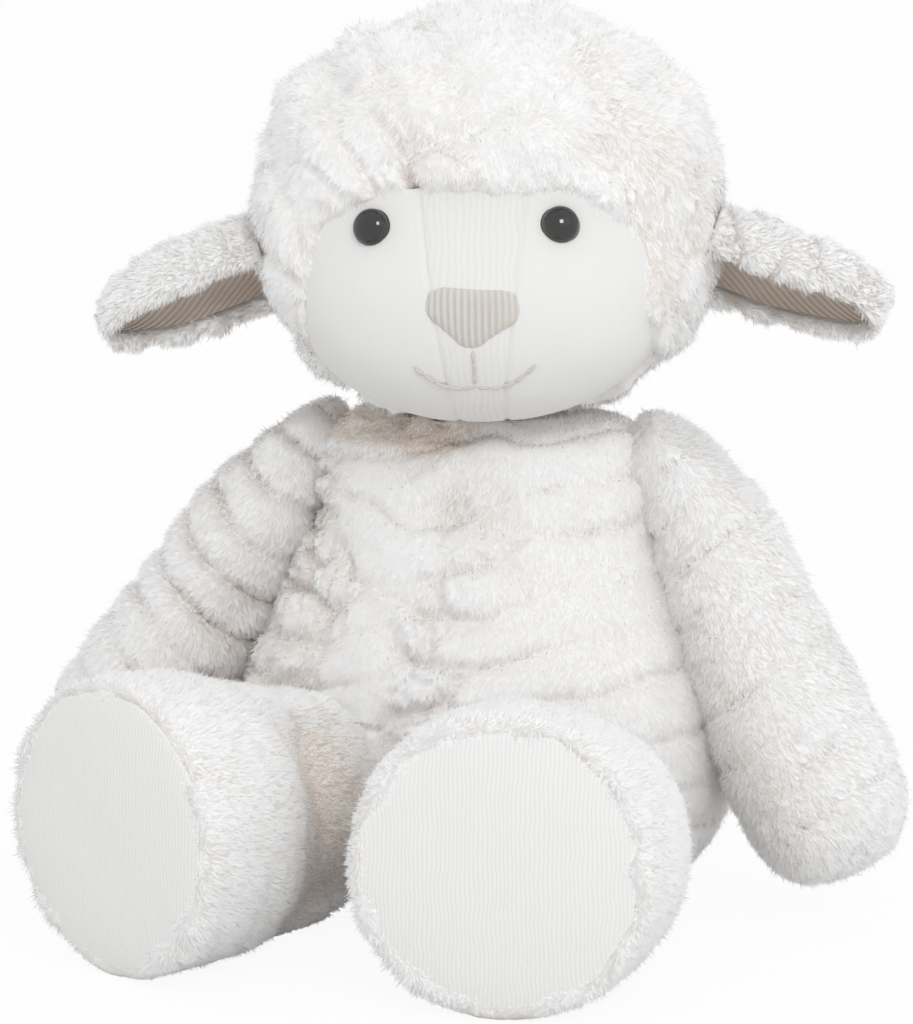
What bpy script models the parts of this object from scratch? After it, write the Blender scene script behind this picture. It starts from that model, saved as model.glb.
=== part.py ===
"""A seated plush lamb: sewn cloth covers over stuffing, with its head, arms, legs, ears and tail
joined at stitched seams.  Front is -Y, the toy's own left is +X, the seat rests on Z = 0."""

import math

import bmesh
import bpy
from mathutils import Matrix, Quaternion, Vector

MM = 0.001

# Cloth and clearances
GAP = 0.3 * MM             # between pieces that touch
OVERRUN = 4 * MM           # how far a cutter runs past what it cuts
PLUSH = 5 * MM             # body cloth: backing and pile together
WOOL = 7 * MM              # the longer pile on the head
KNIT = 1.5 * MM            # fine ribbed cloth of the face, soles and ear linings
THREAD_RADIUS = 0.6 * MM   # doubled sewing thread of the closing seams
SEAM_GROOVE = 1.4 * MM
STITCH_RADIUS = 0.5 * MM   # embroidery thread of the mouth

# Torso: a pear, wide at the seat
TORSO_HEIGHT = 159 * MM
TORSO_HALF_WIDTH = 81 * MM
TORSO_HALF_DEPTH = 64 * MM
BELLY_FORWARD = 4 * MM
TORSO_ROW_SHARES = (       # height, width, depth, forward lean
    (0.000, 0.68, 0.66, 0.0), (0.030, 0.80, 0.78, 0.0), (0.080, 0.90, 0.89, 0.1),
    (0.170, 0.985, 0.98, 0.5), (0.280, 1.00, 1.00, 1.0), (0.400, 0.98, 0.98, 1.0),
    (0.530, 0.90, 0.89, 0.8), (0.670, 0.785, 0.77, 0.4), (0.800, 0.70, 0.63, 0.1),
    (0.900, 0.61, 0.50, 0.0), (0.960, 0.49, 0.39, 0.0), (1.000, 0.30, 0.26, 0.0),
)
TORSO_SIDES = 24
TORSO_ROWS = 12
NECK_OPENING_RADIUS = 8 * MM

# Bag of pellets that weights the seat
PELLET_BAG_HEIGHT = 34 * MM
PELLET_BAG_HALF_WIDTH = 40 * MM
PELLET_BAG_HALF_DEPTH = 28 * MM
PELLET_BAG_BACK = 8 * MM
PELLET_BAG_ROWS = 5

# Head: a cranium and a muzzle run together, turning on a ball that sits in the torso's neck dish
HEAD_BALL_RADIUS = 41 * MM
NECK_DISH_DEPTH = 2 * MM
NECK_SEAM_RADIUS = 11 * MM
HEAD_TURN_DEG = 13
HEAD_LEAN_DEG = 1.5        # the crown leans to the toy's right
CRANIUM_RADII = Vector((71 * MM, 57 * MM, 59 * MM))
CRANIUM_CENTRE = Vector((0, 0, 28 * MM))
MUZZLE_RADII = Vector((54 * MM, 38 * MM, 36 * MM))
MUZZLE_CENTRE = Vector((0, -32 * MM, 0))
HEAD_CORE = Vector((0, -8 * MM, 17 * MM))
CRANIUM_SQUARENESS = 2.5   # two would be a plain ellipsoid
MUZZLE_SQUARENESS = 2.1
HEAD_BLEND = 12            # how sharply cranium and muzzle meet
HEAD_UNDERSIDE = -33 * MM  # the hood is flat below, round its ball
HEAD_SIDES = 26
HEAD_ROWS = 16

# Face: the opening in the wool, in the head's own frame
FACE_HALF_WIDTH = 54 * MM
FACE_TOP = 40 * MM
FACE_BOTTOM = -48 * MM
FACE_BACK = -25 * MM
FACE_SQUARENESS = 3.2
FACE_SIDES = 20
GUSSET_TOP_HALF_WIDTH = 17 * MM
GUSSET_BOTTOM_HALF_WIDTH = 6 * MM
NOSE_HALF_WIDTH = 15 * MM
NOSE_TOP = 10 * MM
NOSE_BOTTOM = -9.5 * MM
NOSE_CORNER = 5 * MM
EYE_SPREAD = 30 * MM
EYE_ASIDE = 2.5 * MM       # the pair sits a little to the toy's right
EYE_HEIGHT = 28 * MM
EYE_RADIUS = 6 * MM
EYE_DOME = 4.4 * MM
EYE_SHANK_RADIUS = 2 * MM
EYE_SHANK_LENGTH = 11 * MM
EYE_SIDES = 14
WASHER_RADIUS = 6 * MM
WASHER_THICKNESS = 1.4 * MM
MOUTH_HALF_WIDTH = 19 * MM
MOUTH_CENTRE_HEIGHT = -22 * MM
MOUTH_DIP = 1.5 * MM
MOUTH_CORNER_RISE = 7 * MM

# Ears: cupped leaves, plush outside and ribbed cloth inside
EAR_BALL_RADIUS = 9 * MM
EAR_SEAM_RADIUS = 6.5 * MM
EAR_HEIGHT = 8 * MM
EAR_BACK = 2 * MM
EAR_SINK = 4 * MM
EAR_LENGTH = 58 * MM
EAR_DROOP_DEG = 19
EAR_CUP_RADIUS = 15.5 * MM
EAR_OPEN_DEG = 38          # the cup opens this far below straight ahead
EAR_WRAP_DEG = 104
EAR_ROW_SHARES = (         # along the ear, cup radius
    (0.00, 0.30), (0.14, 0.78), (0.32, 1.00), (0.55, 0.98), (0.78, 0.76), (0.93, 0.46), (1.00, 0.20),
)
EAR_ROWS = 7
EAR_ARC_STEPS = 8

# Arms
ARM_BALL_RADIUS = 18 * MM
ARM_LENGTH = 153 * MM
ARM_THICKEST = 25 * MM
SHOULDER_HALF_SPAN = 65.5 * MM
SHOULDER_HEIGHT_SHARE = 0.918     # of the torso's height
SHOULDER_BACK = -1 * MM
ARM_SIDE_DEG = 31          # how far it leans out, seen from the front
ARM_FORWARD_DEG = 7        # and how far it leans forward
ARM_SEAM_TILT_DEG = 20
ARM_SEAM_RADIUS = 8 * MM
ARM_ROW_SHARES = (         # along the arm, radius
    (0.00, 0.720), (0.15, 0.770), (0.40, 0.860), (0.62, 0.980), (0.78, 1.000), (0.88, 0.920),
    (0.95, 0.700), (0.985, 0.380), (1.00, 0.0),
)
ARM_ROWS = 9
LIMB_SIDES = 18
BALL_SIDES = 18
ARM_OPENING_RADIUS = 7 * MM

# Legs and feet
LEG_BALL_RADIUS = 38 * MM
LEG_LENGTH = 70 * MM       # hip centre to the cover's front edge
FOOT_HALF_WIDTH = 46 * MM
FOOT_HALF_HEIGHT = 46.5 * MM
FOOT_EDGE_ROUND = 2 * MM
HIP_HALF_SPAN = 43 * MM
HIP_FORWARD = 87 * MM
HIP_HEIGHT = 39 * MM
LEG_SPLAY_DEG = {"left": 8, "right": 27}
LEG_SEAM_RADIUS = 20 * MM
SOLE_BULGE = 4.5 * MM
LEG_ROWS = 5
FLOOR_FLAT = 0.5 * MM      # how far the pile is pressed flat where it stands

# Tail
TAIL_BALL_RADIUS = 8 * MM
TAIL_LENGTH = 38 * MM
TAIL_THICKEST = 13 * MM
TAIL_HEIGHT = 60 * MM
TAIL_SINK = 3 * MM
TAIL_HANG_DEG = 45         # below straight back
TAIL_CLOTH = 3.5 * MM
TAIL_OPENING_RADIUS = 3 * MM
TAIL_SEAM_RADIUS = 5.5 * MM
TAIL_ROW_SHARES = (
    (0.00, 0.66), (0.20, 0.80), (0.50, 1.00), (0.75, 0.92), (0.92, 0.55), (1.00, 0.0),
)
TAIL_ROWS = 5
TAIL_SIDES = 12

SIDES = (("left", 1), ("right", -1))
BALL_RINGS = 4             # rows of a limb's round end
ROOT_WAIST_DEG = 62        # an arm's or tail's ball runs on to here before the limb swells
SEAM_STEPS = 16
SEAM_SIDES = 4


def clear_scene():
    for thing in list(bpy.data.objects):
        bpy.data.objects.remove(thing)


def material(name, colour, roughness):
    made = bpy.data.materials.new(name)
    made.use_nodes = True
    shader = made.node_tree.nodes["Principled BSDF"]
    shader.inputs["Base Color"].default_value = (*colour, 1)
    shader.inputs["Roughness"].default_value = roughness
    shader.inputs["Metallic"].default_value = 0
    return made


def through(table, share):
    """The columns of a table of shares at one place, on a smooth curve through its rows."""
    rows = list(table)
    i = 0
    while i < len(rows) - 2 and share > rows[i + 1][0]:
        i += 1
    a, b = rows[i], rows[i + 1]
    before = rows[i - 1] if i else a
    after = rows[i + 2] if i + 2 < len(rows) else b
    span = b[0] - a[0]
    t = min(max((share - a[0]) / span, 0), 1)
    found = []
    for k in range(1, len(a)):
        start = (b[k] - before[k]) / (b[0] - before[0]) * span
        end = (after[k] - a[k]) / (after[0] - a[0]) * span
        found.append(
            a[k] * (2 * t**3 - 3 * t**2 + 1) + b[k] * (3 * t**2 - 2 * t**3)
            + start * (t**3 - 2 * t**2 + t) + end * (t**3 - t**2)
        )
    return found


def new_object(name, bm, parent=None, cloth=None, smooth=True):
    bmesh.ops.recalc_face_normals(bm, faces=bm.faces)
    mesh = bpy.data.meshes.new(name)
    bm.to_mesh(mesh)
    bm.free()
    if smooth:
        mesh.shade_smooth()
    thing = bpy.data.objects.new(name, mesh)
    bpy.context.scene.collection.objects.link(thing)
    thing.parent = parent
    if cloth:
        mesh.materials.append(cloth)
    return thing


def loft(name, rows, sides, parent=None, cloth=None):
    """A closed skin over rows of (centre, u, v); a row whose u is zero is a single point."""
    bm = bmesh.new()
    rings = []
    for centre, u, v in rows:
        if u.length == 0:
            rings.append([bm.verts.new(centre)])
            continue
        turns = (math.tau * k / sides for k in range(sides))
        rings.append([bm.verts.new(centre + u * math.cos(a) + v * math.sin(a)) for a in turns])
    for lower, upper in zip(rings, rings[1:]):
        for k in range(sides):
            corners = [lower[k % len(lower)], lower[(k + 1) % len(lower)]]
            corners += [upper[(k + 1) % len(upper)], upper[k % len(upper)]]
            bm.faces.new(list(dict.fromkeys(corners)))
    for ring in (rings[0], rings[-1]):
        if len(ring) > 2:
            fan_cap(bm, ring)
    return new_object(name, bm, parent, cloth)


def fan_cap(bm, ring):
    middle = bm.verts.new(sum((v.co for v in ring), Vector()) / len(ring))
    for a, b in zip(ring, ring[1:] + ring[:1]):
        bm.faces.new((a, b, middle))


def ball(name, radius, centre=Vector(), parent=None):
    bm = bmesh.new()
    bmesh.ops.create_uvsphere(bm, u_segments=BALL_SIDES, v_segments=BALL_SIDES * 2 // 3, radius=radius)
    bmesh.ops.translate(bm, verts=bm.verts, vec=centre)
    return new_object(name, bm, parent)


def socket(name, radius, centre, parent=None):
    """A faceted ball that a true one of this radius fits inside, for cutting."""
    flats = math.cos(math.pi / BALL_SIDES) * math.cos(math.pi * 3 / 4 / BALL_SIDES)
    return ball(name, radius / flats, centre, parent)


def ring(name, radius, tube, centre, normal, parent=None, cloth=None):
    """A thin closed hoop, spun from a small circle."""
    bm = bmesh.new()
    circle = bmesh.ops.create_circle(bm, segments=SEAM_SIDES, radius=tube)["verts"]
    stand = Matrix.Translation(Vector((radius, 0, 0))) @ Matrix.Rotation(math.pi / 2, 4, "X")
    bmesh.ops.transform(bm, matrix=stand, verts=circle)
    bmesh.ops.spin(
        bm, geom=bm.edges[:], cent=Vector(), axis=Vector((0, 0, 1)), angle=math.tau,
        steps=SEAM_STEPS, use_merge=True,
    )
    turn = Vector((0, 0, 1)).rotation_difference(normal).to_matrix().to_4x4()
    bmesh.ops.transform(bm, matrix=Matrix.Translation(centre) @ turn, verts=bm.verts)
    return new_object(name, bm, parent, cloth)


def turned(name, profile, steps, parent=None, cloth=None):
    """A solid of revolution about local Z from (radius, height) points that start and end on the axis."""
    bm = bmesh.new()
    line = [bm.verts.new((radius, 0, height)) for radius, height in profile]
    edges = [bm.edges.new(pair) for pair in zip(line, line[1:])]
    bmesh.ops.spin(
        bm, geom=edges, cent=Vector(), axis=Vector((0, 0, 1)), angle=math.tau,
        steps=steps, use_merge=True,
    )
    weld = min(profile[1][0], profile[-2][0]) * 0.01
    bmesh.ops.remove_doubles(bm, verts=bm.verts, dist=weld)
    return new_object(name, bm, parent, cloth)


def block(name, low, high, parent=None):
    bm = bmesh.new()
    bmesh.ops.create_cube(bm, size=1)
    size = high - low
    bmesh.ops.scale(bm, verts=bm.verts, vec=size)
    bmesh.ops.translate(bm, verts=bm.verts, vec=(low + high) / 2)
    return new_object(name, bm, parent, smooth=False)


def boolean(thing, other, operation="DIFFERENCE"):
    """Cuts, joins or trims a piece with a guide solid, which isn't part of the toy."""
    other.hide_render = True
    other.display_type = "WIRE"
    step = thing.modifiers.new(other.name, "BOOLEAN")
    step.operation = operation
    step.object = other
    step.solver = "EXACT"
    return thing


def pivot(name, place, turn=Quaternion(), parent=None):
    """An empty on a joint, which carries the pieces that move with it."""
    empty = bpy.data.objects.new(name, None)
    bpy.context.scene.collection.objects.link(empty)
    empty.rotation_mode = "QUATERNION"
    empty.location = place
    empty.rotation_quaternion = turn
    empty.parent = parent
    return empty


# Torso

def torso_rows(inset):
    rows = []
    for k in range(TORSO_ROWS + 1):
        height = k / TORSO_ROWS
        wide, deep, lean = through(TORSO_ROW_SHARES, height)
        z = inset + height * (TORSO_HEIGHT - 2 * inset)
        centre = Vector((0, -BELLY_FORWARD * lean, z))
        u = Vector((TORSO_HALF_WIDTH * wide - inset, 0, 0))
        v = Vector((0, TORSO_HALF_DEPTH * deep - inset, 0))
        rows.append((centre, u, v))
    return rows


def pellet_bag_rows(grow):
    rows = []
    floor = PLUSH + GAP
    for k in range(PELLET_BAG_ROWS + 1):
        lift = k / PELLET_BAG_ROWS
        wide = math.sqrt(1 - lift**4)
        centre = Vector((0, PELLET_BAG_BACK, floor + (PELLET_BAG_HEIGHT + grow) * lift))
        u = Vector((PELLET_BAG_HALF_WIDTH + grow, 0, 0)) * wide
        v = Vector((0, PELLET_BAG_HALF_DEPTH + grow, 0)) * wide
        rows.append((centre, u, v))
    return rows


def head_pivot_place():
    return Vector((0, 0, TORSO_HEIGHT - NECK_DISH_DEPTH + HEAD_BALL_RADIUS))


def hip_place(side):
    return Vector((side * HIP_HALF_SPAN, -HIP_FORWARD, HIP_HEIGHT))


def leg_direction(name, side):
    splay = math.radians(LEG_SPLAY_DEG[name])
    return Vector((side * math.sin(splay), -math.cos(splay), 0))


def shoulder_place(side):
    height = TORSO_HEIGHT * SHOULDER_HEIGHT_SHARE
    return Vector((side * SHOULDER_HALF_SPAN, SHOULDER_BACK, height))


def arm_seam_normal(side):
    tilt = math.radians(ARM_SEAM_TILT_DEG)
    return Vector((side * math.cos(tilt), 0, math.sin(tilt)))


def arm_direction(side):
    out = math.tan(math.radians(ARM_SIDE_DEG))
    ahead = math.tan(math.radians(ARM_FORWARD_DEG)) * math.hypot(out, 1)
    return Vector((side * out, -ahead, -1)).normalized()


def tail_place():
    share = TAIL_HEIGHT / TORSO_HEIGHT
    _, deep, lean = through(TORSO_ROW_SHARES, share)
    back = TORSO_HALF_DEPTH * deep - BELLY_FORWARD * lean
    return Vector((0, back + TAIL_BALL_RADIUS - TAIL_SINK, TAIL_HEIGHT))


def seam_joins():
    """Each round end that is sewn to the torso: name, centre, ball radius, outward way, seam radius."""
    up, back = Vector((0, 0, 1)), Vector((0, 1, 0))
    joins = [("neck_seam", head_pivot_place(), HEAD_BALL_RADIUS, up, NECK_SEAM_RADIUS)]
    for name, side in SIDES:
        way = leg_direction(name, side)
        joins.append((f"leg_seam_{name}", hip_place(side), LEG_BALL_RADIUS, way, LEG_SEAM_RADIUS))
        way = arm_seam_normal(side)
        joins.append((f"arm_seam_{name}", shoulder_place(side), ARM_BALL_RADIUS, way, ARM_SEAM_RADIUS))
    joins.append(("tail_seam", tail_place(), TAIL_BALL_RADIUS, back, TAIL_SEAM_RADIUS))
    return joins


def seam_centre(centre, radius, way, seam_radius):
    """Where a seam's hoop lies so that it just clears the round end that it holds."""
    reach = radius + GAP + THREAD_RADIUS
    return centre - way * math.sqrt(reach**2 - seam_radius**2)


def make_torso(plush, filling, bag_cloth, thread):
    cover = loft("torso_cover", torso_rows(0), TORSO_SIDES, cloth=plush)
    boolean(cover, loft("torso_hollow", torso_rows(PLUSH), TORSO_SIDES))
    stuffing = loft("torso_stuffing", torso_rows(PLUSH + GAP), TORSO_SIDES, cloth=filling)
    up = Vector((0, 0, OVERRUN))
    opening = Vector((NECK_OPENING_RADIUS, 0, 0)), Vector((0, NECK_OPENING_RADIUS, 0))
    bottom = Vector((0, 0, TORSO_HEIGHT - PLUSH - NECK_DISH_DEPTH))
    top = Vector((0, 0, TORSO_HEIGHT))
    neck = loft("neck_opening", [(bottom - up, *opening), (top + up, *opening)], LIMB_SIDES)
    boolean(cover, neck)
    for name, centre, radius, way, seam_radius in seam_joins():
        seat = socket(f"{name}_socket", radius + GAP, centre)
        boolean(cover, seat)
        boolean(stuffing, seat)
        middle = seam_centre(centre, radius, way, seam_radius)
        groove = ring(f"{name}_groove", seam_radius, SEAM_GROOVE, middle, way)
        boolean(cover, groove)
        boolean(stuffing, groove)
        ring(name, seam_radius, THREAD_RADIUS, middle, way, cloth=thread)
    room = pellet_bag_rows(GAP * 2)
    mouth, u, v = room[0]
    below = (Vector((mouth.x, mouth.y, -OVERRUN)), u, v)
    boolean(stuffing, loft("pellet_pocket", [below] + room, LIMB_SIDES))
    loft("pellet_bag", pellet_bag_rows(0), LIMB_SIDES, cloth=bag_cloth)


# Head

def form_size(place, centre, radii, squareness):
    """One on the surface of a rounded form, less inside it."""
    total = sum(abs((place[k] - centre[k]) / radii[k]) ** squareness for k in range(3))
    return max(total, 1e-9) ** (1 / squareness)


def head_size(place):
    """The stuffed head is cranium and muzzle, run together."""
    cranium = form_size(place, CRANIUM_CENTRE, CRANIUM_RADII, CRANIUM_SQUARENESS)
    muzzle = form_size(place, MUZZLE_CENTRE, MUZZLE_RADII, MUZZLE_SQUARENESS)
    return (cranium**-HEAD_BLEND + muzzle**-HEAD_BLEND) ** (-1 / HEAD_BLEND)


def head_reach(way):
    """How far the stuffed head's surface is from its core along a ray."""
    near, far = 0, 2 * CRANIUM_RADII.x
    for _ in range(30):
        middle = (near + far) / 2
        if head_size(HEAD_CORE + way * middle) < 1:
            near = middle
        else:
            far = middle
    return near


def head_form(name, grow, parent, cloth=None):
    bm = bmesh.new()
    bmesh.ops.create_uvsphere(bm, u_segments=HEAD_SIDES, v_segments=HEAD_ROWS, radius=1)
    for vert in bm.verts:
        way = vert.co.normalized()
        vert.co = HEAD_CORE + way * (head_reach(way) + grow)
    bmesh.ops.triangulate(bm, faces=bm.faces, quad_method="FIXED")
    return new_object(name, bm, parent, cloth)


def face_point(x, z, grow):
    """The point in front of the head's core at a given width and height, and the way out there."""
    far, near = MUZZLE_CENTRE.y - 2 * MUZZLE_RADII.y, HEAD_CORE.y
    for _ in range(30):
        y = (far + near) / 2
        ray = Vector((x, y, z)) - HEAD_CORE
        if ray.length > head_reach(ray.normalized()) + grow:
            far = y
        else:
            near = y
    return Vector((x, near, z))


def face_normal(x, z, grow):
    step = EYE_RADIUS / 4
    across = face_point(x + step, z, grow) - face_point(x - step, z, grow)
    upward = face_point(x, z + step, grow) - face_point(x, z - step, grow)
    return across.cross(upward).normalized()


def rounded_outline(half_width, top, bottom, squareness, count):
    """A superellipse in X and Z, which is nearly square with round corners."""
    points = []
    half_height = (top - bottom) / 2
    for k in range(count):
        a = math.tau * k / count
        c, s = math.cos(a), math.sin(a)
        x = math.copysign(abs(c) ** (2 / squareness), c) * half_width
        z = math.copysign(abs(s) ** (2 / squareness), s) * half_height
        points.append((x, z + (top + bottom) / 2))
    return points


def prism(name, outline, back, front, parent=None):
    """An outline in X and Z run along Y."""
    bm = bmesh.new()
    base = [bm.verts.new((x, back, z)) for x, z in outline]
    bm.faces.new(base)
    moved = bmesh.ops.extrude_face_region(bm, geom=bm.faces[:])["geom"]
    tips = [v for v in moved if isinstance(v, bmesh.types.BMVert)]
    bmesh.ops.translate(bm, verts=tips, vec=(0, front - back, 0))
    bmesh.ops.triangulate(bm, faces=[f for f in bm.faces if len(f.verts) > 4])
    return new_object(name, bm, parent, smooth=False)


def face_outline(shrink):
    return rounded_outline(
        FACE_HALF_WIDTH - shrink, FACE_TOP - shrink, FACE_BOTTOM + shrink, FACE_SQUARENESS, FACE_SIDES
    )


def clipped(outline, low, high, side):
    """The part of an outline on one side of the line from low to high."""
    def beyond(place):
        return side * (place - low).cross(high - low)

    kept = []
    for a, b in zip(outline, outline[1:] + outline[:1]):
        a, b = Vector(a), Vector(b)
        if beyond(a) >= 0:
            kept.append(a)
        if beyond(a) * beyond(b) < 0:
            kept.append(a.lerp(b, beyond(a) / (beyond(a) - beyond(b))))
    return kept


def panel_outlines():
    """The face's cloth is cut in three: a middle panel that narrows to the chin, and two cheeks."""
    whole = face_outline(GAP)
    lines = {}
    for name, side in SIDES:
        low = Vector((side * GUSSET_BOTTOM_HALF_WIDTH, FACE_BOTTOM))
        high = Vector((side * GUSSET_TOP_HALF_WIDTH, FACE_TOP))
        lines[side] = low, high
    half_gap = Vector((GAP / 2, 0))
    outlines = {}
    for name, side in SIDES:
        low, high = lines[side]
        outlines[name] = clipped(whole, low + side * half_gap, high + side * half_gap, side)
    middle = whole
    for side, (low, high) in lines.items():
        middle = clipped(middle, low - side * half_gap, high - side * half_gap, -side)
    return outlines, middle


def nose_outline():
    """A soft triangle, point down, with its corners rounded by arcs."""
    inner_width = NOSE_HALF_WIDTH - NOSE_CORNER
    corners = (
        (inner_width, NOSE_TOP - NOSE_CORNER, -35, 95),
        (-inner_width, NOSE_TOP - NOSE_CORNER, 85, 215),
        (0, NOSE_BOTTOM + NOSE_CORNER, 215, 325),
    )
    points = []
    for x, z, start, end in corners:
        for k in range(6):
            a = math.radians(start + (end - start) * k / 5)
            points.append((x + NOSE_CORNER * math.cos(a), z + NOSE_CORNER * math.sin(a)))
    return points


def stitch_line(name, points, parent, thread):
    """Embroidery thread along points on the face."""
    curve = bpy.data.curves.new(name, "CURVE")
    curve.dimensions = "3D"
    curve.bevel_depth = STITCH_RADIUS
    curve.bevel_resolution = 1
    curve.use_fill_caps = True
    spline = curve.splines.new("POLY")
    spline.points.add(len(points) - 1)
    for knot, place in zip(spline.points, points):
        knot.co = (*place, 1)
    curve.materials.append(thread)
    thing = bpy.data.objects.new(name, curve)
    bpy.context.scene.collection.objects.link(thing)
    thing.parent = parent
    return thing


def make_mouth(head, thread):
    lift = GAP + KNIT + GAP + STITCH_RADIUS
    middle = MOUTH_CENTRE_HEIGHT
    start = NOSE_BOTTOM - GAP - STITCH_RADIUS
    end = middle + STITCH_RADIUS + GAP * 2
    steps = [start + (end - start) * k / 4 for k in range(5)]
    stitch_line("lip_stitch", [face_point(0, z, lift) for z in steps], head, thread)
    for name, side in SIDES:
        points = []
        for k in range(10):
            t = k / 9
            x = side * (STITCH_RADIUS + GAP + (MOUTH_HALF_WIDTH - STITCH_RADIUS - GAP) * t)
            z = middle - MOUTH_DIP * math.sin(math.pi * min(t * 1.6, 1)) + MOUTH_CORNER_RISE * t**2.2
            points.append(face_point(x, z, lift))
        stitch_line(f"smile_stitch_{name}", points, head, thread)


def make_eyes(head, black, washer_plastic, cheeks, stuffing):
    surface = GAP + KNIT + GAP
    dome = [(EYE_RADIUS * math.cos(a), EYE_DOME * math.sin(a)) for a in
            (math.pi / 2 * k / 5 for k in range(6))]
    dome[-1] = (0, EYE_DOME)
    stub = -EYE_SHANK_LENGTH
    ridge = EYE_SHANK_RADIUS * 1.15
    shank = [(0, stub), (EYE_SHANK_RADIUS * 0.6, stub)]
    for k in range(3):
        z = stub * (0.85 - 0.16 * k)
        shank += [(EYE_SHANK_RADIUS, z - EYE_SHANK_RADIUS * 0.15), (ridge, z)]
    shank += [(EYE_SHANK_RADIUS, -surface), (EYE_SHANK_RADIUS, 0)]
    for name, side in SIDES:
        x = side * EYE_SPREAD - EYE_ASIDE
        place = face_point(x, EYE_HEIGHT, surface)
        out = face_normal(x, EYE_HEIGHT, surface)
        seat = pivot(f"eye_{name}_seat", place, Vector((0, 0, 1)).rotation_difference(out), head)
        turned(f"eye_{name}", shank + dome, EYE_SIDES, seat, black)
        behind = -surface - GAP * 2
        hole = ridge + GAP
        washer = ring_plate(f"eye_washer_{name}", hole, WASHER_RADIUS, behind, WASHER_THICKNESS, seat,
                            washer_plastic)
        washer.parent = seat
        bore = round_cutter(f"eye_hole_{name}", hole, stub - OVERRUN, EYE_DOME, seat)
        boolean(cheeks[name], bore)
        dimple = round_cutter(f"eye_dimple_{name}", EYE_RADIUS + GAP, -GAP, EYE_DOME, seat)
        boolean(cheeks[name], dimple)
        pocket = round_cutter(f"eye_pocket_{name}", WASHER_RADIUS + GAP, stub - GAP, EYE_DOME, seat)
        boolean(stuffing, pocket)


def round_cutter(name, radius, low, high, parent):
    ends = Vector((0, 0, low)), Vector((0, 0, high))
    u, v = Vector((radius, 0, 0)), Vector((0, radius, 0))
    return loft(name, [(ends[0], u, v), (ends[1], u, v)], LIMB_SIDES, parent)


def ring_plate(name, inner, outer, top, thickness, parent, plastic):
    """A flat washer: its rectangular section spun about local Z."""
    bm = bmesh.new()
    corners = ((inner, top), (outer, top), (outer, top - thickness), (inner, top - thickness))
    line = [bm.verts.new((radius, 0, z)) for radius, z in corners]
    edges = [bm.edges.new(pair) for pair in zip(line, line[1:] + line[:1])]
    bmesh.ops.spin(
        bm, geom=edges, cent=Vector(), axis=Vector((0, 0, 1)), angle=math.tau,
        steps=EYE_SIDES, use_merge=True,
    )
    return new_object(name, bm, parent, plastic, smooth=False)


def ear_ball_place(side):
    """On the wool's outside at the ear's height, sunk a little way in."""
    way = Vector((1, EAR_BACK / CRANIUM_RADII.x, (EAR_HEIGHT - HEAD_CORE.z) / CRANIUM_RADII.x))
    way.normalize()
    skin = HEAD_CORE + way * (head_reach(way) + WOOL)
    reach = skin.x + EAR_BALL_RADIUS - EAR_SINK
    return Vector((side * reach, skin.y, skin.z))


def make_head(wool, knit, rib, filling, thread, black, washer_plastic):
    turn = Quaternion((0, 0, 1), math.radians(HEAD_TURN_DEG))
    turn = turn @ Quaternion((0, 1, 0), math.radians(-HEAD_LEAN_DEG))
    head = pivot("head_pivot", head_pivot_place(), turn)
    hood = head_form("head_cover", WOOL, head, wool)
    reach = 2 * CRANIUM_RADII.x
    under = Vector((-reach, -reach, -reach)), Vector((reach, reach, HEAD_UNDERSIDE))
    boolean(hood, block("head_underside", *under, head))
    boolean(hood, ball("head_ball", HEAD_BALL_RADIUS, parent=head), "UNION")
    boolean(hood, head_form("head_hollow", GAP, head))
    front = MUZZLE_CENTRE.y - 2 * MUZZLE_RADII.y
    boolean(hood, prism("face_opening", face_outline(0), FACE_BACK + GAP, front, head))
    stuffing = head_form("head_stuffing", 0, head, filling)

    bed = head_form("face_bed", GAP, head)
    outlines, middle = panel_outlines()
    gusset = head_form("face_gusset", GAP + KNIT, head, knit)
    boolean(gusset, bed)
    boolean(gusset, prism("gusset_window", middle, FACE_BACK, front, head), "INTERSECT")
    cheeks = {}
    for name, side in SIDES:
        cheeks[name] = head_form(f"cheek_{name}", GAP + KNIT, head, knit)
        boolean(cheeks[name], bed)
        window = prism(f"cheek_{name}_window", outlines[name], FACE_BACK, front, head)
        boolean(cheeks[name], window, "INTERSECT")

    under_nose = GAP + KNIT + GAP
    nose = head_form("nose_patch", under_nose + KNIT, head, rib)
    boolean(nose, head_form("nose_bed", under_nose, head))
    boolean(nose, prism("nose_window", nose_outline(), FACE_BACK, front, head), "INTERSECT")
    make_mouth(head, thread)
    make_eyes(head, black, washer_plastic, cheeks, stuffing)

    for name, side in SIDES:
        place = ear_ball_place(side)
        boolean(hood, socket(f"ear_{name}_socket", EAR_BALL_RADIUS + GAP, place, head))
        way = Vector((side, 0, 0))
        middle = seam_centre(place, EAR_BALL_RADIUS, way, EAR_SEAM_RADIUS)
        groove = ring(f"ear_{name}_groove", EAR_SEAM_RADIUS, SEAM_GROOVE, middle, way, head)
        boolean(hood, groove)
        ring(f"ear_seam_{name}", EAR_SEAM_RADIUS, THREAD_RADIUS, middle, way, head, thread)
        make_ear(name, side, pivot(f"ear_{name}_pivot", place, parent=head), wool, rib)


# Ears

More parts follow.
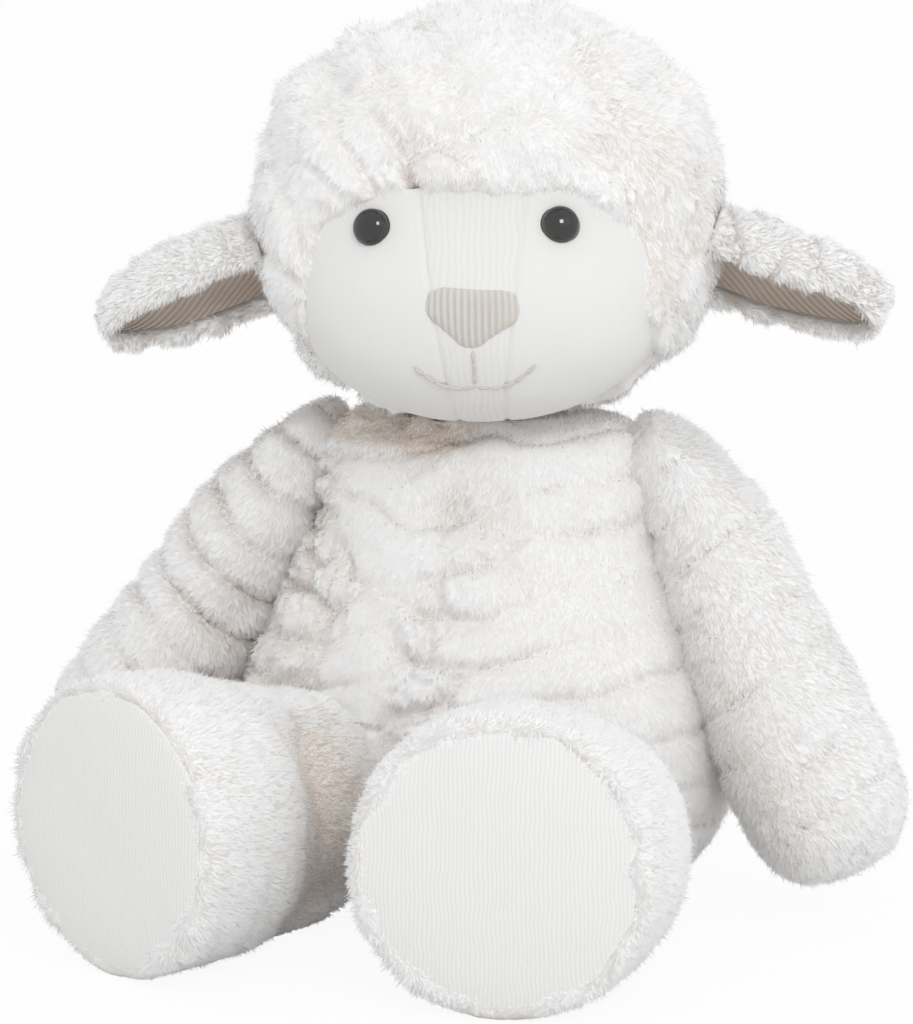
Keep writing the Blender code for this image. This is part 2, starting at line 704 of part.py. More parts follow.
def ear_grid(side, inner, outer):
    """Rows of matching points on the inside and outside of a cupped leaf."""
    droop = math.radians(EAR_DROOP_DEG)
    along = Vector((side * math.cos(droop), 0, -math.sin(droop)))
    tilt = math.radians(EAR_OPEN_DEG)
    back = Vector((0, math.cos(tilt), math.sin(tilt)))
    back = (back - along * back.dot(along)).normalized()
    across = along.cross(back) * side
    wrap = math.radians(EAR_WRAP_DEG)
    rows = []
    for k in range(EAR_ROWS + 1):
        share = k / EAR_ROWS
        (cup,) = through(EAR_ROW_SHARES, share)
        cup = cup * EAR_CUP_RADIUS
        centre = along * (share * EAR_LENGTH)
        row = []
        for j in range(EAR_ARC_STEPS + 1):
            a = wrap * (2 * j / EAR_ARC_STEPS - 1)
            ray = back * math.cos(a) + across * math.sin(a)
            row.append((centre + ray * (cup + inner), centre + ray * (cup + outer)))
        rows.append(row)
    return rows


def curved_plate(name, rows, parent, cloth):
    """A closed plate from rows of (inside, outside) points."""
    bm = bmesh.new()
    grid = [[[bm.verts.new(p) for p in pair] for pair in row] for row in rows]
    last_row, last_column = len(grid) - 1, len(grid[0]) - 1
    for i in range(last_row):
        for j in range(last_column):
            for face in (0, 1):
                quad = (grid[i][j], grid[i + 1][j], grid[i + 1][j + 1], grid[i][j + 1])
                bm.faces.new([corner[face] for corner in quad])
    for i in range(last_row):
        for j in (0, last_column):
            a, b = grid[i][j], grid[i + 1][j]
            bm.faces.new((a[0], a[1], b[1], b[0]))
    for j in range(last_column):
        for i in (0, last_row):
            a, b = grid[i][j], grid[i][j + 1]
            bm.faces.new((a[0], a[1], b[1], b[0]))
    return new_object(name, bm, parent, cloth)


def make_ear(name, side, root, wool, rib):
    start = KNIT + GAP
    cover = curved_plate(f"ear_cover_{name}", ear_grid(side, start, start + PLUSH), root, wool)
    boolean(cover, ball(f"ear_{name}_ball", EAR_BALL_RADIUS, parent=root), "UNION")
    lining = curved_plate(f"ear_lining_{name}", ear_grid(side, 0, KNIT), root, rib)
    boolean(lining, socket(f"ear_{name}_ball_gap", EAR_BALL_RADIUS + GAP, Vector(), root))


# Arms, legs and tail

def round_end(radius, way, u, v):
    """The rows of a limb's ball, from its far pole to its widest ring."""
    rows = [(way * -radius, Vector(), Vector())]
    for k in range(1, BALL_RINGS + 1):
        a = math.pi / 2 * k / BALL_RINGS
        rows.append((way * -radius * math.cos(a), u * radius * math.sin(a), v * radius * math.sin(a)))
    return rows


def tapered_rows(table, count, ball_radius, length, thickest, inset):
    """A limb along local -Y from its ball, its thickness read from a table."""
    way, u, v = Vector((0, -1, 0)), Vector((1, 0, 0)), Vector((0, 0, 1))
    rows = round_end(ball_radius - inset, way, u, v)
    waist = (ball_radius - inset) * math.sin(math.radians(ROOT_WAIST_DEG))
    rows.append((way * (ball_radius - inset) * math.cos(math.radians(ROOT_WAIST_DEG)), u * waist, v * waist))
    for k in range(1, count + 1):
        share = 1 - (1 - k / count) ** 1.35
        (thick,) = through(table, share)
        radius = max(thick * thickest - inset, 0)
        centre = way * share * (length - inset)
        if k == count:
            rows.append((centre, Vector(), Vector()))
        elif radius > inset / 2:
            rows.append((centre, u * radius, v * radius))
    return rows


def make_arms(plush, filling):
    for name, side in SIDES:
        turn = Vector((0, -1, 0)).rotation_difference(arm_direction(side))
        root = pivot(f"arm_{name}_pivot", shoulder_place(side), turn)
        size = (ARM_ROW_SHARES, ARM_ROWS, ARM_BALL_RADIUS, ARM_LENGTH, ARM_THICKEST)
        cover = loft(f"arm_cover_{name}", tapered_rows(*size, 0), LIMB_SIDES, root, plush)
        boolean(cover, loft(f"arm_hollow_{name}", tapered_rows(*size, PLUSH), LIMB_SIDES, root))
        u, v = Vector((ARM_OPENING_RADIUS, 0, 0)), Vector((0, 0, ARM_OPENING_RADIUS))
        ends = Vector((0, ARM_BALL_RADIUS + OVERRUN, 0)), Vector((0, ARM_BALL_RADIUS - PLUSH * 1.5, 0))
        boolean(cover, loft(f"arm_opening_{name}", [(ends[0], u, v), (ends[1], u, v)], LIMB_SIDES, root))
        loft(f"arm_stuffing_{name}", tapered_rows(*size, PLUSH + GAP), LIMB_SIDES, root, filling)


def leg_rows(inset):
    """A leg along local -Y: a ball at the hip that swells into a foot standing on the floor."""
    way, u, v = Vector((0, -1, 0)), Vector((1, 0, 0)), Vector((0, 0, 1))
    rows = round_end(LEG_BALL_RADIUS - inset, way, u, v)
    drop = HIP_HEIGHT + FLOOR_FLAT
    for k in range(1, LEG_ROWS + 1):
        share = k / LEG_ROWS
        swell = math.sin(share * math.pi / 2)
        wide = LEG_BALL_RADIUS + (FOOT_HALF_WIDTH - LEG_BALL_RADIUS) * swell
        tall = LEG_BALL_RADIUS + (FOOT_HALF_HEIGHT - LEG_BALL_RADIUS) * swell
        rise = (FOOT_HALF_HEIGHT - drop) * swell
        centre = way * share * (LEG_LENGTH - FOOT_EDGE_ROUND) + v * rise
        rows.append((centre, u * (wide - inset), v * (tall - inset)))
    return rows


def leg_cover_rows():
    rows = leg_rows(0)
    centre, u, v = rows[-1]
    for k in (1, 2):
        a = math.pi / 2 * k / 2
        narrow = FOOT_EDGE_ROUND * (1 - math.cos(a))
        ahead = Vector((0, -FOOT_EDGE_ROUND * math.sin(a), 0))
        rows.append((centre + ahead, u * (1 - narrow / u.length), v * (1 - narrow / v.length)))
    return rows


def dome_rows(inset, back, edge, bulge):
    """A foot's domed front: a round plug from behind the foot's mouth, then the dome itself."""
    way = Vector((0, -1, 0))
    centre, u, v = leg_rows(inset)[-1]
    centre = Vector((0, -LEG_LENGTH, centre.z))
    rows = [(centre + way * back, u, v), (centre + way * edge, u, v)]
    for k in range(1, 4):
        a = math.pi / 2 * k / 4
        rows.append((centre + way * (edge + bulge * math.sin(a)), u * math.cos(a), v * math.cos(a)))
    rows.append((centre + way * (edge + bulge), Vector(), Vector()))
    return rows


def make_legs(plush, filling, knit):
    reach = 2 * (LEG_LENGTH + FOOT_HALF_WIDTH)
    for name, side in SIDES:
        turn = Vector((0, -1, 0)).rotation_difference(leg_direction(name, side))
        root = pivot(f"leg_{name}_pivot", hip_place(side), turn)
        cover = loft(f"leg_cover_{name}", leg_cover_rows(), LIMB_SIDES, root, plush)
        low = Vector((-reach, -reach, -HIP_HEIGHT - reach))
        boolean(cover, block(f"leg_{name}_floor", low, Vector((reach, reach, -HIP_HEIGHT)), root))
        centre, u, v = leg_rows(PLUSH)[-1]
        mouth = [(centre + Vector((0, -FOOT_EDGE_ROUND - OVERRUN, 0)), u, v)]
        boolean(cover, loft(f"leg_hollow_{name}", leg_rows(PLUSH) + mouth, LIMB_SIDES, root))
        sole = loft(f"sole_{name}", dome_rows(FOOT_EDGE_ROUND, GAP, GAP + KNIT, SOLE_BULGE),
                    LIMB_SIDES, root, knit)
        boolean(sole, loft(f"sole_bed_{name}", dome_rows(PLUSH, -OVERRUN, GAP, SOLE_BULGE),
                           LIMB_SIDES, root))
        filled = leg_rows(PLUSH + GAP)[:-1]
        filled += dome_rows(PLUSH + GAP, -FOOT_EDGE_ROUND, -GAP, SOLE_BULGE)
        loft(f"leg_stuffing_{name}", filled, LIMB_SIDES, root, filling)


def make_tail(plush, filling):
    hang = math.radians(TAIL_HANG_DEG)
    turn = Vector((0, -1, 0)).rotation_difference(Vector((0, math.cos(hang), -math.sin(hang))))
    root = pivot("tail_pivot", tail_place(), turn)
    size = (TAIL_ROW_SHARES, TAIL_ROWS, TAIL_BALL_RADIUS, TAIL_LENGTH, TAIL_THICKEST)
    cover = loft("tail_cover", tapered_rows(*size, 0), TAIL_SIDES, root, plush)
    boolean(cover, loft("tail_hollow", tapered_rows(*size, TAIL_CLOTH), TAIL_SIDES, root))
    u, v = Vector((TAIL_OPENING_RADIUS, 0, 0)), Vector((0, 0, TAIL_OPENING_RADIUS))
    ends = Vector((0, TAIL_BALL_RADIUS + OVERRUN, 0)), Vector((0, TAIL_BALL_RADIUS - TAIL_CLOTH * 1.5, 0))
    boolean(cover, loft("tail_opening", [(ends[0], u, v), (ends[1], u, v)], TAIL_SIDES, root))
    loft("tail_stuffing", tapered_rows(*size, TAIL_CLOTH + GAP), TAIL_SIDES, root, filling)


def main():
    clear_scene()
    plush = material("white_plush", (0.84, 0.83, 0.81), 0.95)
    wool = material("white_wool", (0.86, 0.85, 0.83), 0.95)
    knit = material("cream_ribbed_cloth", (0.84, 0.82, 0.79), 0.9)
    rib = material("beige_ribbed_cloth", (0.60, 0.53, 0.46), 0.9)
    filling = material("polyester_fibre", (0.9, 0.9, 0.9), 1.0)
    bag_cloth = material("pellet_bag_cloth", (0.75, 0.73, 0.68), 0.9)
    thread = material("thread", (0.62, 0.57, 0.52), 0.8)
    black = material("black_plastic", (0.02, 0.018, 0.016), 0.15)
    washer_plastic = material("washer_plastic", (0.8, 0.8, 0.78), 0.5)
    make_torso(plush, filling, bag_cloth, thread)
    make_head(wool, knit, rib, filling, thread, black, washer_plastic)
    make_arms(plush, filling)
    make_legs(plush, filling, knit)
    make_tail(plush, filling)
    bpy.context.view_layer.update()


main()
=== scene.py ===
# %% [markdown]
# # A plush sheep, dressed over its solid model
# The solid model already holds every piece of the toy at its real size: covers, filling, eyes, seams.
# This notebook gives those pieces their cloth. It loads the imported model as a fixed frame, builds each
# soft cover again as a fine surface with its puffs and creases, grows the pile on it, and sets the
# camera and lamps. Everything is in metres, in the frame of the solid model, so that each piece of cloth
# lies on the joint that moves it.

import math
from itertools import product

import bpy
import numpy as np
from mathutils import Matrix, Quaternion, Vector


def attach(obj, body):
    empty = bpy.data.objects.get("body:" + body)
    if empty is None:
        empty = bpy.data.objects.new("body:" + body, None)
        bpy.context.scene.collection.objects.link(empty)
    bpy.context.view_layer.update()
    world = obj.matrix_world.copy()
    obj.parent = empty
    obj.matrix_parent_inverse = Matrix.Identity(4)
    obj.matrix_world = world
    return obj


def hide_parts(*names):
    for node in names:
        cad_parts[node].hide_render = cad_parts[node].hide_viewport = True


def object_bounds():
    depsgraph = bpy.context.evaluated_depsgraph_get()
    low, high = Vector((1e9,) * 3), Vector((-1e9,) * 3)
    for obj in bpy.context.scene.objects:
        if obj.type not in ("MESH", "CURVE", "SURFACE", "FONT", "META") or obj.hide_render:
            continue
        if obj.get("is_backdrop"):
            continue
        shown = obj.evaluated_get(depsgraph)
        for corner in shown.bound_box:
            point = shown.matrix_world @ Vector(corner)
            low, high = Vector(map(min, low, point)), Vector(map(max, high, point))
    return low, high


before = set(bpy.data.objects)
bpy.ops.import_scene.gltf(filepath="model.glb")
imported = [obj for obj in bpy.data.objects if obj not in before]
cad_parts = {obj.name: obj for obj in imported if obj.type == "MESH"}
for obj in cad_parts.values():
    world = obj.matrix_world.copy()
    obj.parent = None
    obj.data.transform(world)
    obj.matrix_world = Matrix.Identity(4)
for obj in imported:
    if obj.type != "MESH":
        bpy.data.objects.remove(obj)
cad_low, cad_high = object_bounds()
MM = 0.001
print("pieces in the solid model:", len(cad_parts))

# %% [markdown]
# ## Camera and light
# The toy sits on a white surface in front of a white wall, lit softly from all sides. One way is a
# single lamp, which leaves hard shadows between the tufts. A white world is nearer to a photographer's
# tent: the pile stays soft and its creases stay open, and their warm tan is painted shade in the
# cloth's colours. A large faint lamp and a smaller, stronger one stand at the toy's left, and the
# smaller one makes the highlight in the eyes.

# %% Camera
PHOTO_HEIGHT = 1024


def camera_at(azimuth, elevation, distance, target, lens, shift):
    """A camera aimed at its target, with its angles in degrees and the azimuth from straight in front."""
    azimuth, elevation = math.radians(azimuth), math.radians(elevation)
    level = math.cos(elevation)
    back = Vector((math.sin(azimuth) * level, -math.cos(azimuth) * level, math.sin(elevation)))
    camera = bpy.data.objects.new("camera", bpy.data.cameras.new("camera"))
    bpy.context.scene.collection.objects.link(camera)
    camera.location = Vector(target) + back * distance
    camera.rotation_euler = back.to_track_quat("Z", "Y").to_euler()
    camera.data.lens = lens
    camera.data.sensor_width = 36
    camera.data.shift_x, camera.data.shift_y = shift
    bpy.context.scene.camera = camera
    print("camera at", [round(value, 3) for value in camera.location])


camera_at(
    azimuth=18, elevation=9.5, distance=1.300, target=(0, -0.030, 0.150), lens=140.6,
    shift=(-5.9 / PHOTO_HEIGHT, -63.4 / PHOTO_HEIGHT),
)

# %% Lamps
def soft_lamp(name, place, aim, size, power):
    """A square lamp of this size in metres and power in watts."""
    lamp = bpy.data.lights.new(name, "AREA")
    lamp.shape = "SQUARE"
    lamp.size = size
    lamp.energy = power
    thing = bpy.data.objects.new(name, lamp)
    bpy.context.scene.collection.objects.link(thing)
    thing.location = place
    thing.rotation_euler = (Vector(place) - Vector(aim)).to_track_quat("Z", "Y").to_euler()


soft_lamp("window", place=(1.1, -0.75, 1.0), aim=(0, 0, 0.14), size=0.9, power=0.6)
soft_lamp("spark", place=(0.85, -1.25, 1.15), aim=(0, 0, 0.2), size=0.45, power=6.5)
print("lamps:", len(bpy.data.lights))

# %% World and floor
def maths(tree, operation, *values):
    """The result of a math node, fed by numbers or by what other nodes give."""
    node = tree.nodes.new("ShaderNodeMath")
    node.operation = operation
    for socket, value in zip(node.inputs, values):
        if isinstance(value, bpy.types.NodeSocket):
            tree.links.new(value, socket)
        else:
            socket.default_value = value
    return node.outputs[0]


def looked_at(tree):
    """One where the camera looks, straight, in a reflection or through something clear."""
    rays = tree.nodes.new("ShaderNodeLightPath").outputs
    seen = maths(tree, "MAXIMUM", rays["Is Camera Ray"], rays["Is Glossy Ray"])
    return maths(tree, "MAXIMUM", seen, rays["Is Transmission Ray"])


def mix_shaders(tree, share, low, high, output):
    """Leads two shaders, mixed by a share from 0 to 1, to an output node."""
    mix = tree.nodes.new("ShaderNodeMixShader")
    for value, socket in zip((share, low, high), mix.inputs):
        tree.links.new(value, socket)
    tree.links.new(mix.outputs[0], tree.nodes[output].inputs["Surface"])


world = bpy.data.worlds.new("tent")
bpy.context.scene.world = world
world.use_nodes = True
tree = world.node_tree
tent = tree.nodes["Background"]
tent.inputs["Color"].default_value = (1.0, 0.998, 0.994, 1)
tent.inputs["Strength"].default_value = 0.97
white = tree.nodes.new("ShaderNodeBackground")
white.inputs["Color"].default_value = (1, 1, 1, 1)
white.inputs["Strength"].default_value = 1
mix_shaders(tree, looked_at(tree), tent.outputs[0], white.outputs[0], "World Output")

FLOOR_HALF_SPAN = 6.0
FLOOR_SEEN_SHARE = 0.93
corners = [(x * FLOOR_HALF_SPAN, y * FLOOR_HALF_SPAN, 0) for x, y in ((-1, -1), (1, -1), (1, 1), (-1, 1))]
sweep = bpy.data.meshes.new("floor")
sweep.from_pydata(corners, [], [(0, 1, 2, 3)])
floor = bpy.data.objects.new("floor", sweep)
bpy.context.scene.collection.objects.link(floor)
paper = bpy.data.materials.new("white_paper")
paper.use_nodes = True
tree = paper.node_tree
matt = tree.nodes["Principled BSDF"]
matt.inputs["Base Color"].default_value = (0.85, 0.85, 0.85, 1)
matt.inputs["Roughness"].default_value = 1
matt.inputs["Specular IOR Level"].default_value = 0
glow = tree.nodes.new("ShaderNodeEmission")
glow.inputs["Strength"].default_value = 1
glowing = maths(tree, "MULTIPLY", looked_at(tree), FLOOR_SEEN_SHARE)
mix_shaders(tree, glowing, matt.outputs[0], glow.outputs[0], "Material Output")
sweep.materials.append(paper)
floor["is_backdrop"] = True
bpy.context.scene.view_settings.view_transform = "Standard"
print("world and floor made")

# %% [markdown]
# ## Chance that repeats
# Pile is never regular, so its tufts, lengths and lean are scattered. Blender's noise textures could do
# it in the shader, but the tufts have to move real points. So the scatter is worked out from the place
# itself: the same point always gets the same number, and the toy comes out alike on every run.

# %% Scattered numbers, smooth drift and tufts
def scattered(cells, seed):
    """Three repeatable numbers from 0 to 1 for each whole-numbered cell."""
    cells = cells.astype(np.int64).astype(np.uint64)
    low_bits = np.uint64(0xFFFFFFFF)
    code = (cells[..., 0] * np.uint64(73856093)) ^ (cells[..., 1] * np.uint64(19349663))
    code = (code ^ (cells[..., 2] * np.uint64(83492791)) ^ np.uint64(seed * 97931 + 17)) & low_bits
    found = []
    for _ in range(3):
        for shift, factor in ((15, 2246822519), (13, 3266489917)):
            code = ((code ^ (code >> np.uint64(shift))) * np.uint64(factor)) & low_bits
        found.append((code >> np.uint64(8)).astype(np.float64) / 0x1000000)
    return np.stack(found, -1)


def drift(points, size, seed):
    """A smooth random value from -1 to 1 that changes over about this size."""
    place = np.asarray(points) / size
    base = np.floor(place)
    part = place - base
    part = part * part * (3 - 2 * part)
    total = np.zeros(len(place))
    for corner in product((0, 1), repeat=3):
        weight = np.prod(np.where(corner, part, 1 - part), axis=1)
        total += weight * scattered(base + corner, seed)[..., 0]
    return total * 2 - 1


def wander(points, size, seed):
    """Three drifts at once, as a vector for each point."""
    return np.stack([drift(points, size, seed + k) for k in range(3)], 1)


def tufts(points, seed, jitter):
    """Distance to the nearest and the next tuft centre, and the nearest centre, in cells of size one."""
    base = np.floor(points)
    near = np.full(len(points), 9.0)
    second = near.copy()
    centre = np.zeros_like(points)
    for offset in product((-1, 0, 1), repeat=3):
        cell = base + offset
        middle = cell + 0.5 + (scattered(cell, seed) - 0.5) * jitter
        away = np.linalg.norm(points - middle, axis=1)
        closer = away < near
        second = np.where(closer, near, np.minimum(second, away))
        near = np.where(closer, away, near)
        centre[closer] = middle[closer]
    return near, second, centre


def smoothstep(low, high, value):
    """A soft step from 0 at low to 1 at high."""
    share = np.clip((value - low) / (high - low), 0, 1)
    return share * share * (3 - 2 * share)


# %% [markdown]
# ## Cloth surfaces
# Each cover is a grid of rows and columns wrapped round its form. Sculpting by hand would also work, but
# a grid keeps the direction of the rows, and the plush of this toy puffs up in rows. A mesh is filled
# straight from arrays, because the pile has far too many points for one call each.

# %% Outlines
def smooth_curve(table, share):
    """Columns of a table of shares, read on a smooth curve through its rows."""
    rows = np.array(table, float)
    x = rows[:, 0]
    slope = np.gradient(rows[:, 1:], x, axis=0)
    i = np.clip(np.searchsorted(x, share, side="right") - 1, 0, len(x) - 2)
    span = (x[i + 1] - x[i])[:, None]
    t = np.clip((share - x[i]) / (x[i + 1] - x[i]), 0, 1)[:, None]
    a, b = rows[i, 1:], rows[i + 1, 1:]
    return (
        a * (2 * t**3 - 3 * t**2 + 1) + b * (3 * t**2 - 2 * t**3)
        + slope[i] * span * (t**3 - 2 * t**2 + t) + slope[i + 1] * span * (t**3 - t**2)
    )


def run_along(points):
    """The distance along a line to each of its points."""
    return np.concatenate([[0], np.cumsum(np.linalg.norm(np.diff(points, axis=0), axis=1))])


def evenly_spaced(points, run, count, endpoint=True):
    """This many points at even steps along a line, given the distance to each point that it has now."""
    even = np.linspace(0, run[-1], count, endpoint=endpoint)
    return np.stack([np.interp(even, run, column) for column in points.T], 1)


def evenly_round(edge, count):
    """This many points at even steps round a closed edge."""
    closed = np.concatenate([edge, edge[:1]])
    return evenly_spaced(closed, run_along(closed), count, endpoint=False)


# %% Meshes from arrays
def array_mesh(name, points, faces, finishes, normals=None, slots=None):
    """A mesh object from arrays; faces are all triangles or all quads."""
    mesh = bpy.data.meshes.new(name)
    faces = np.asarray(faces, np.int32)
    count, corners = faces.shape
    mesh.vertices.add(len(points))
    mesh.vertices.foreach_set("co", np.asarray(points, np.float32).ravel())
    mesh.loops.add(count * corners)
    mesh.loops.foreach_set("vertex_index", faces.ravel())
    mesh.polygons.add(count)
    mesh.polygons.foreach_set("loop_start", np.arange(0, count * corners, corners, dtype=np.int32))
    mesh.polygons.foreach_set("use_smooth", np.ones(count, bool))
    for finish in finishes:
        mesh.materials.append(finish)
    if slots is not None:
        mesh.polygons.foreach_set("material_index", np.asarray(slots, np.int32))
    mesh.update(calc_edges=True)
    if normals is not None:
        own = mesh.attributes.new("custom_normal", "FLOAT_VECTOR", "POINT")
        own.data.foreach_set("vector", np.asarray(normals, np.float32).ravel())
    thing = bpy.data.objects.new(name, mesh)
    bpy.context.scene.collection.objects.link(thing)
    return thing


def mark(thing, name, values):
    """A number or vector for each point of a piece, which its material can read."""
    kind, field = ("FLOAT", "value") if np.ndim(values) == 1 else ("FLOAT_VECTOR", "vector")
    attribute = thing.data.attributes.new(name, kind, "POINT")
    attribute.data.foreach_set(field, np.asarray(values, np.float32).ravel())


def wrapped_quads(rows, columns, closed=True):
    """Quads of a grid of points, row by row. A closed grid joins its last column to its first."""
    across = np.arange(columns if closed else columns - 1)
    row, column = np.meshgrid(np.arange(rows - 1), across, indexing="ij")
    here, beside = row * columns + column, row * columns + (column + 1) % columns
    return np.stack([here, beside, beside + columns, here + columns], -1).reshape(-1, 4)


def unit(vectors):
    return vectors / np.maximum(np.linalg.norm(vectors, axis=-1, keepdims=True), 1e-12)


def point_normals(points, quads):
    """Normals of a grid's points, from the faces round each of them."""
    a, b, c, d = (points[quads[:, k]] for k in range(4))
    facing = np.cross(c - a, d - b)
    total = np.zeros_like(points)
    for k in range(4):
        for axis in range(3):
            total[:, axis] += np.bincount(quads[:, k], facing[:, axis], len(points))
    return unit(total)


def faces_in(points, quads):
    """Whether the quads of a form look towards its middle."""
    return (point_normals(points, quads) * (points - points.mean(0))).sum() <= 0


def moved(points, matrix):
    """Places carried along by a matrix."""
    m = np.array(matrix)
    return np.asarray(points) @ m[:3, :3].T + m[:3, 3]


def turned(vectors, matrix):
    """Directions turned by a matrix but not shifted."""
    return np.asarray(vectors) @ np.array(matrix)[:3, :3].T


# %% [markdown]
# ## Finishes
# Plush is a knitted backing with a cut pile. Under the light its tips are nearly white, and between
# the tufts the light bounces many times and comes back warm. Here that warm shade is painted. The fibres
# are real geometry, so they need only plain colours: painted shade makes their roots a little darker and
# blades in creases warm tan. The backing below gets painted shade from how deep each point lies, darker
# and warmer in the creases.

# %% Shader helpers
def point_value(tree, name):
    """What a node gives that reads the marks of this name."""
    node = tree.nodes.new("ShaderNodeAttribute")
    node.attribute_name = name
    return node.outputs


def noise(tree, scale, detail, place=None):
    """Noise from 0 to 1, at a place of its own or the piece's usual one."""
    node = tree.nodes.new("ShaderNodeTexNoise")
    node.inputs["Scale"].default_value = scale
    node.inputs["Detail"].default_value = detail
    if place is not None:
        tree.links.new(place, node.inputs["Vector"])
    return node.outputs["Fac"]


def mixed(tree, share, low, high):
    """A colour between two, by a share from 0 to 1. The node's inputs 6 and 7 are its two colours."""
    blend = tree.nodes.new("ShaderNodeMix")
    blend.data_type = "RGBA"
    for number, value in ((0, share), (6, low), (7, high)):
        if isinstance(value, bpy.types.NodeSocket):
            tree.links.new(value, blend.inputs[number])
        else:
            blend.inputs[number].default_value = (*value, 1)
    return blend.outputs[2]


def shaded(name, colour, roughness, sheen, specular):
    """A finish of one colour."""
    finish = bpy.data.materials.new(name)
    finish.use_nodes = True
    surface = finish.node_tree.nodes["Principled BSDF"].inputs
    surface["Base Color"].default_value = (*colour, 1)
    surface["Roughness"].default_value = roughness
    surface["Specular IOR Level"].default_value = specular
    surface["Sheen Weight"].default_value = sheen
    surface["Sheen Roughness"].default_value = 0.6
    return finish


def coloured_and_raised(finish, colour, height, relief):
    """Gives a finish a colour and a bump that change over the cloth."""
    tree = finish.node_tree
    surface = tree.nodes["Principled BSDF"].inputs
    bump = tree.nodes.new("ShaderNodeBump")
    bump.inputs["Strength"].default_value = 1
    bump.inputs["Distance"].default_value = relief
    tree.links.new(colour, surface["Base Color"])
    tree.links.new(height, bump.inputs["Height"])
    tree.links.new(bump.outputs[0], surface["Normal"])


# %% Shader group for ribbed cloth
# Ribs across the cloth's own width, wavering a little, with a fine knit between them. The dark colour
# in each groove is painted shade.
ribbed_cloth = bpy.data.node_groups.new("ribbed_cloth", "ShaderNodeTree")
for label, way, kind in (
    ("Pitch", "INPUT", "Float"), ("Waver", "INPUT", "Float"), ("Knit", "INPUT", "Float"),
    ("Light", "INPUT", "Color"), ("Dark", "INPUT", "Color"),
    ("Color", "OUTPUT", "Color"), ("Height", "OUTPUT", "Float"),
):
    ribbed_cloth.interface.new_socket(label, in_out=way, socket_type=f"NodeSocket{kind}")
given = ribbed_cloth.nodes.new("NodeGroupInput").outputs
made = ribbed_cloth.nodes.new("NodeGroupOutput").inputs
place = point_value(ribbed_cloth, "cloth")["Vector"]
apart = ribbed_cloth.nodes.new("ShaderNodeSeparateXYZ")
ribbed_cloth.links.new(place, apart.inputs[0])
count = maths(ribbed_cloth, "DIVIDE", apart.outputs["X"], given["Pitch"])
slow = maths(ribbed_cloth, "SUBTRACT", noise(ribbed_cloth, 90, 1, place), 0.5)
swing = maths(ribbed_cloth, "MULTIPLY", maths(ribbed_cloth, "MULTIPLY", slow, given["Waver"]), 6)
turn = maths(ribbed_cloth, "MULTIPLY", maths(ribbed_cloth, "ADD", count, swing), math.tau)
wave = maths(ribbed_cloth, "MULTIPLY_ADD", maths(ribbed_cloth, "COSINE", turn), 0.5, 0.5)
rib = maths(ribbed_cloth, "POWER", wave, 0.6)
fine = maths(ribbed_cloth, "SUBTRACT", noise(ribbed_cloth, 1500, 2, place), 0.5)
rise = maths(ribbed_cloth, "ADD", rib, maths(ribbed_cloth, "MULTIPLY", fine, given["Knit"]))
ribbed_cloth.links.new(mixed(ribbed_cloth, rise, given["Dark"], given["Light"]), made["Color"])
ribbed_cloth.links.new(rise, made["Height"])
print("nodes in the ribbed cloth group:", len(ribbed_cloth.nodes))


# %% Finishes
def ribbed_finish(name, pitch, waver, knit, relief, light, dark):
    """Cloth with ribs at this pitch and relief, from a dark groove of painted shade to a light rib."""
    finish = shaded(name, light, roughness=0.92, sheen=0.1, specular=0.2)
    cloth = finish.node_tree.nodes.new("ShaderNodeGroup")
    cloth.node_tree = ribbed_cloth
    for label, value in (
        ("Pitch", pitch), ("Waver", waver), ("Knit", knit), ("Light", (*light, 1)), ("Dark", (*dark, 1)),
    ):
        cloth.inputs[label].default_value = value
    coloured_and_raised(finish, cloth.outputs["Color"], cloth.outputs["Height"], relief)
    return finish


def backing_finish(name, deep, high):
    """The knitted backing under the pile, with painted shade: darker and warmer the deeper it lies."""
    finish = shaded(name, high, roughness=1, sheen=0, specular=0)
    tree = finish.node_tree
    speckle = noise(tree, 700, 2)
    uneven = maths(tree, "SUBTRACT", speckle, 0.5)
    tint = maths(tree, "MULTIPLY_ADD", uneven, 0.3, point_value(tree, "height")["Fac"])
    coloured_and_raised(finish, mixed(tree, tint, deep, high), speckle, 0.4 * MM)
    return finish


# The first colour is painted shade for the plush's creases, the second the backing's own near-white.
plush_backing = backing_finish("plush_backing", (0.72, 0.60, 0.505), (0.93, 0.925, 0.918))
# The tips have the pile's own white; the roots' slightly darker colour is painted shade, and the deep one is
# painted warm shade for blades in creases.
pile = (
    shaded("pile_tip", (0.925, 0.935, 0.942), roughness=1, sheen=0, specular=0),
    shaded("pile_root_painted_shade", (0.91, 0.915, 0.918), roughness=1, sheen=0, specular=0),
    shaded("pile_deep_painted_shade", (0.80, 0.685, 0.595), roughness=1, sheen=0, specular=0),
)
# The dark colour of each ribbed cloth is painted shade in its grooves.
face_jersey = ribbed_finish("face_jersey", 2.1 * MM, 0.20, 0.9, 0.012 * MM,
                            light=(0.728, 0.730, 0.726), dark=(0.722, 0.723, 0.718))
gusset_rib = ribbed_finish("gusset_rib", 2.1 * MM, 0.28, 0.6, 0.045 * MM,
                           light=(0.732, 0.734, 0.730), dark=(0.700, 0.698, 0.690))
sole_cord = ribbed_finish("sole_cord", 1.3 * MM, 0.30, 0.5, 0.09 * MM,
                          light=(0.775, 0.775, 0.77), dark=(0.725, 0.722, 0.715))
nose_wale = ribbed_finish("nose_wale", 2.1 * MM, 0.05, 0.5, 0.16 * MM,
                          light=(0.615, 0.595, 0.565), dark=(0.53, 0.50, 0.465))
ear_wale = ribbed_finish("ear_wale", 2.0 * MM, 0.08, 0.5, 0.25 * MM,
                         light=(0.655, 0.58, 0.515), dark=(0.54, 0.462, 0.402))
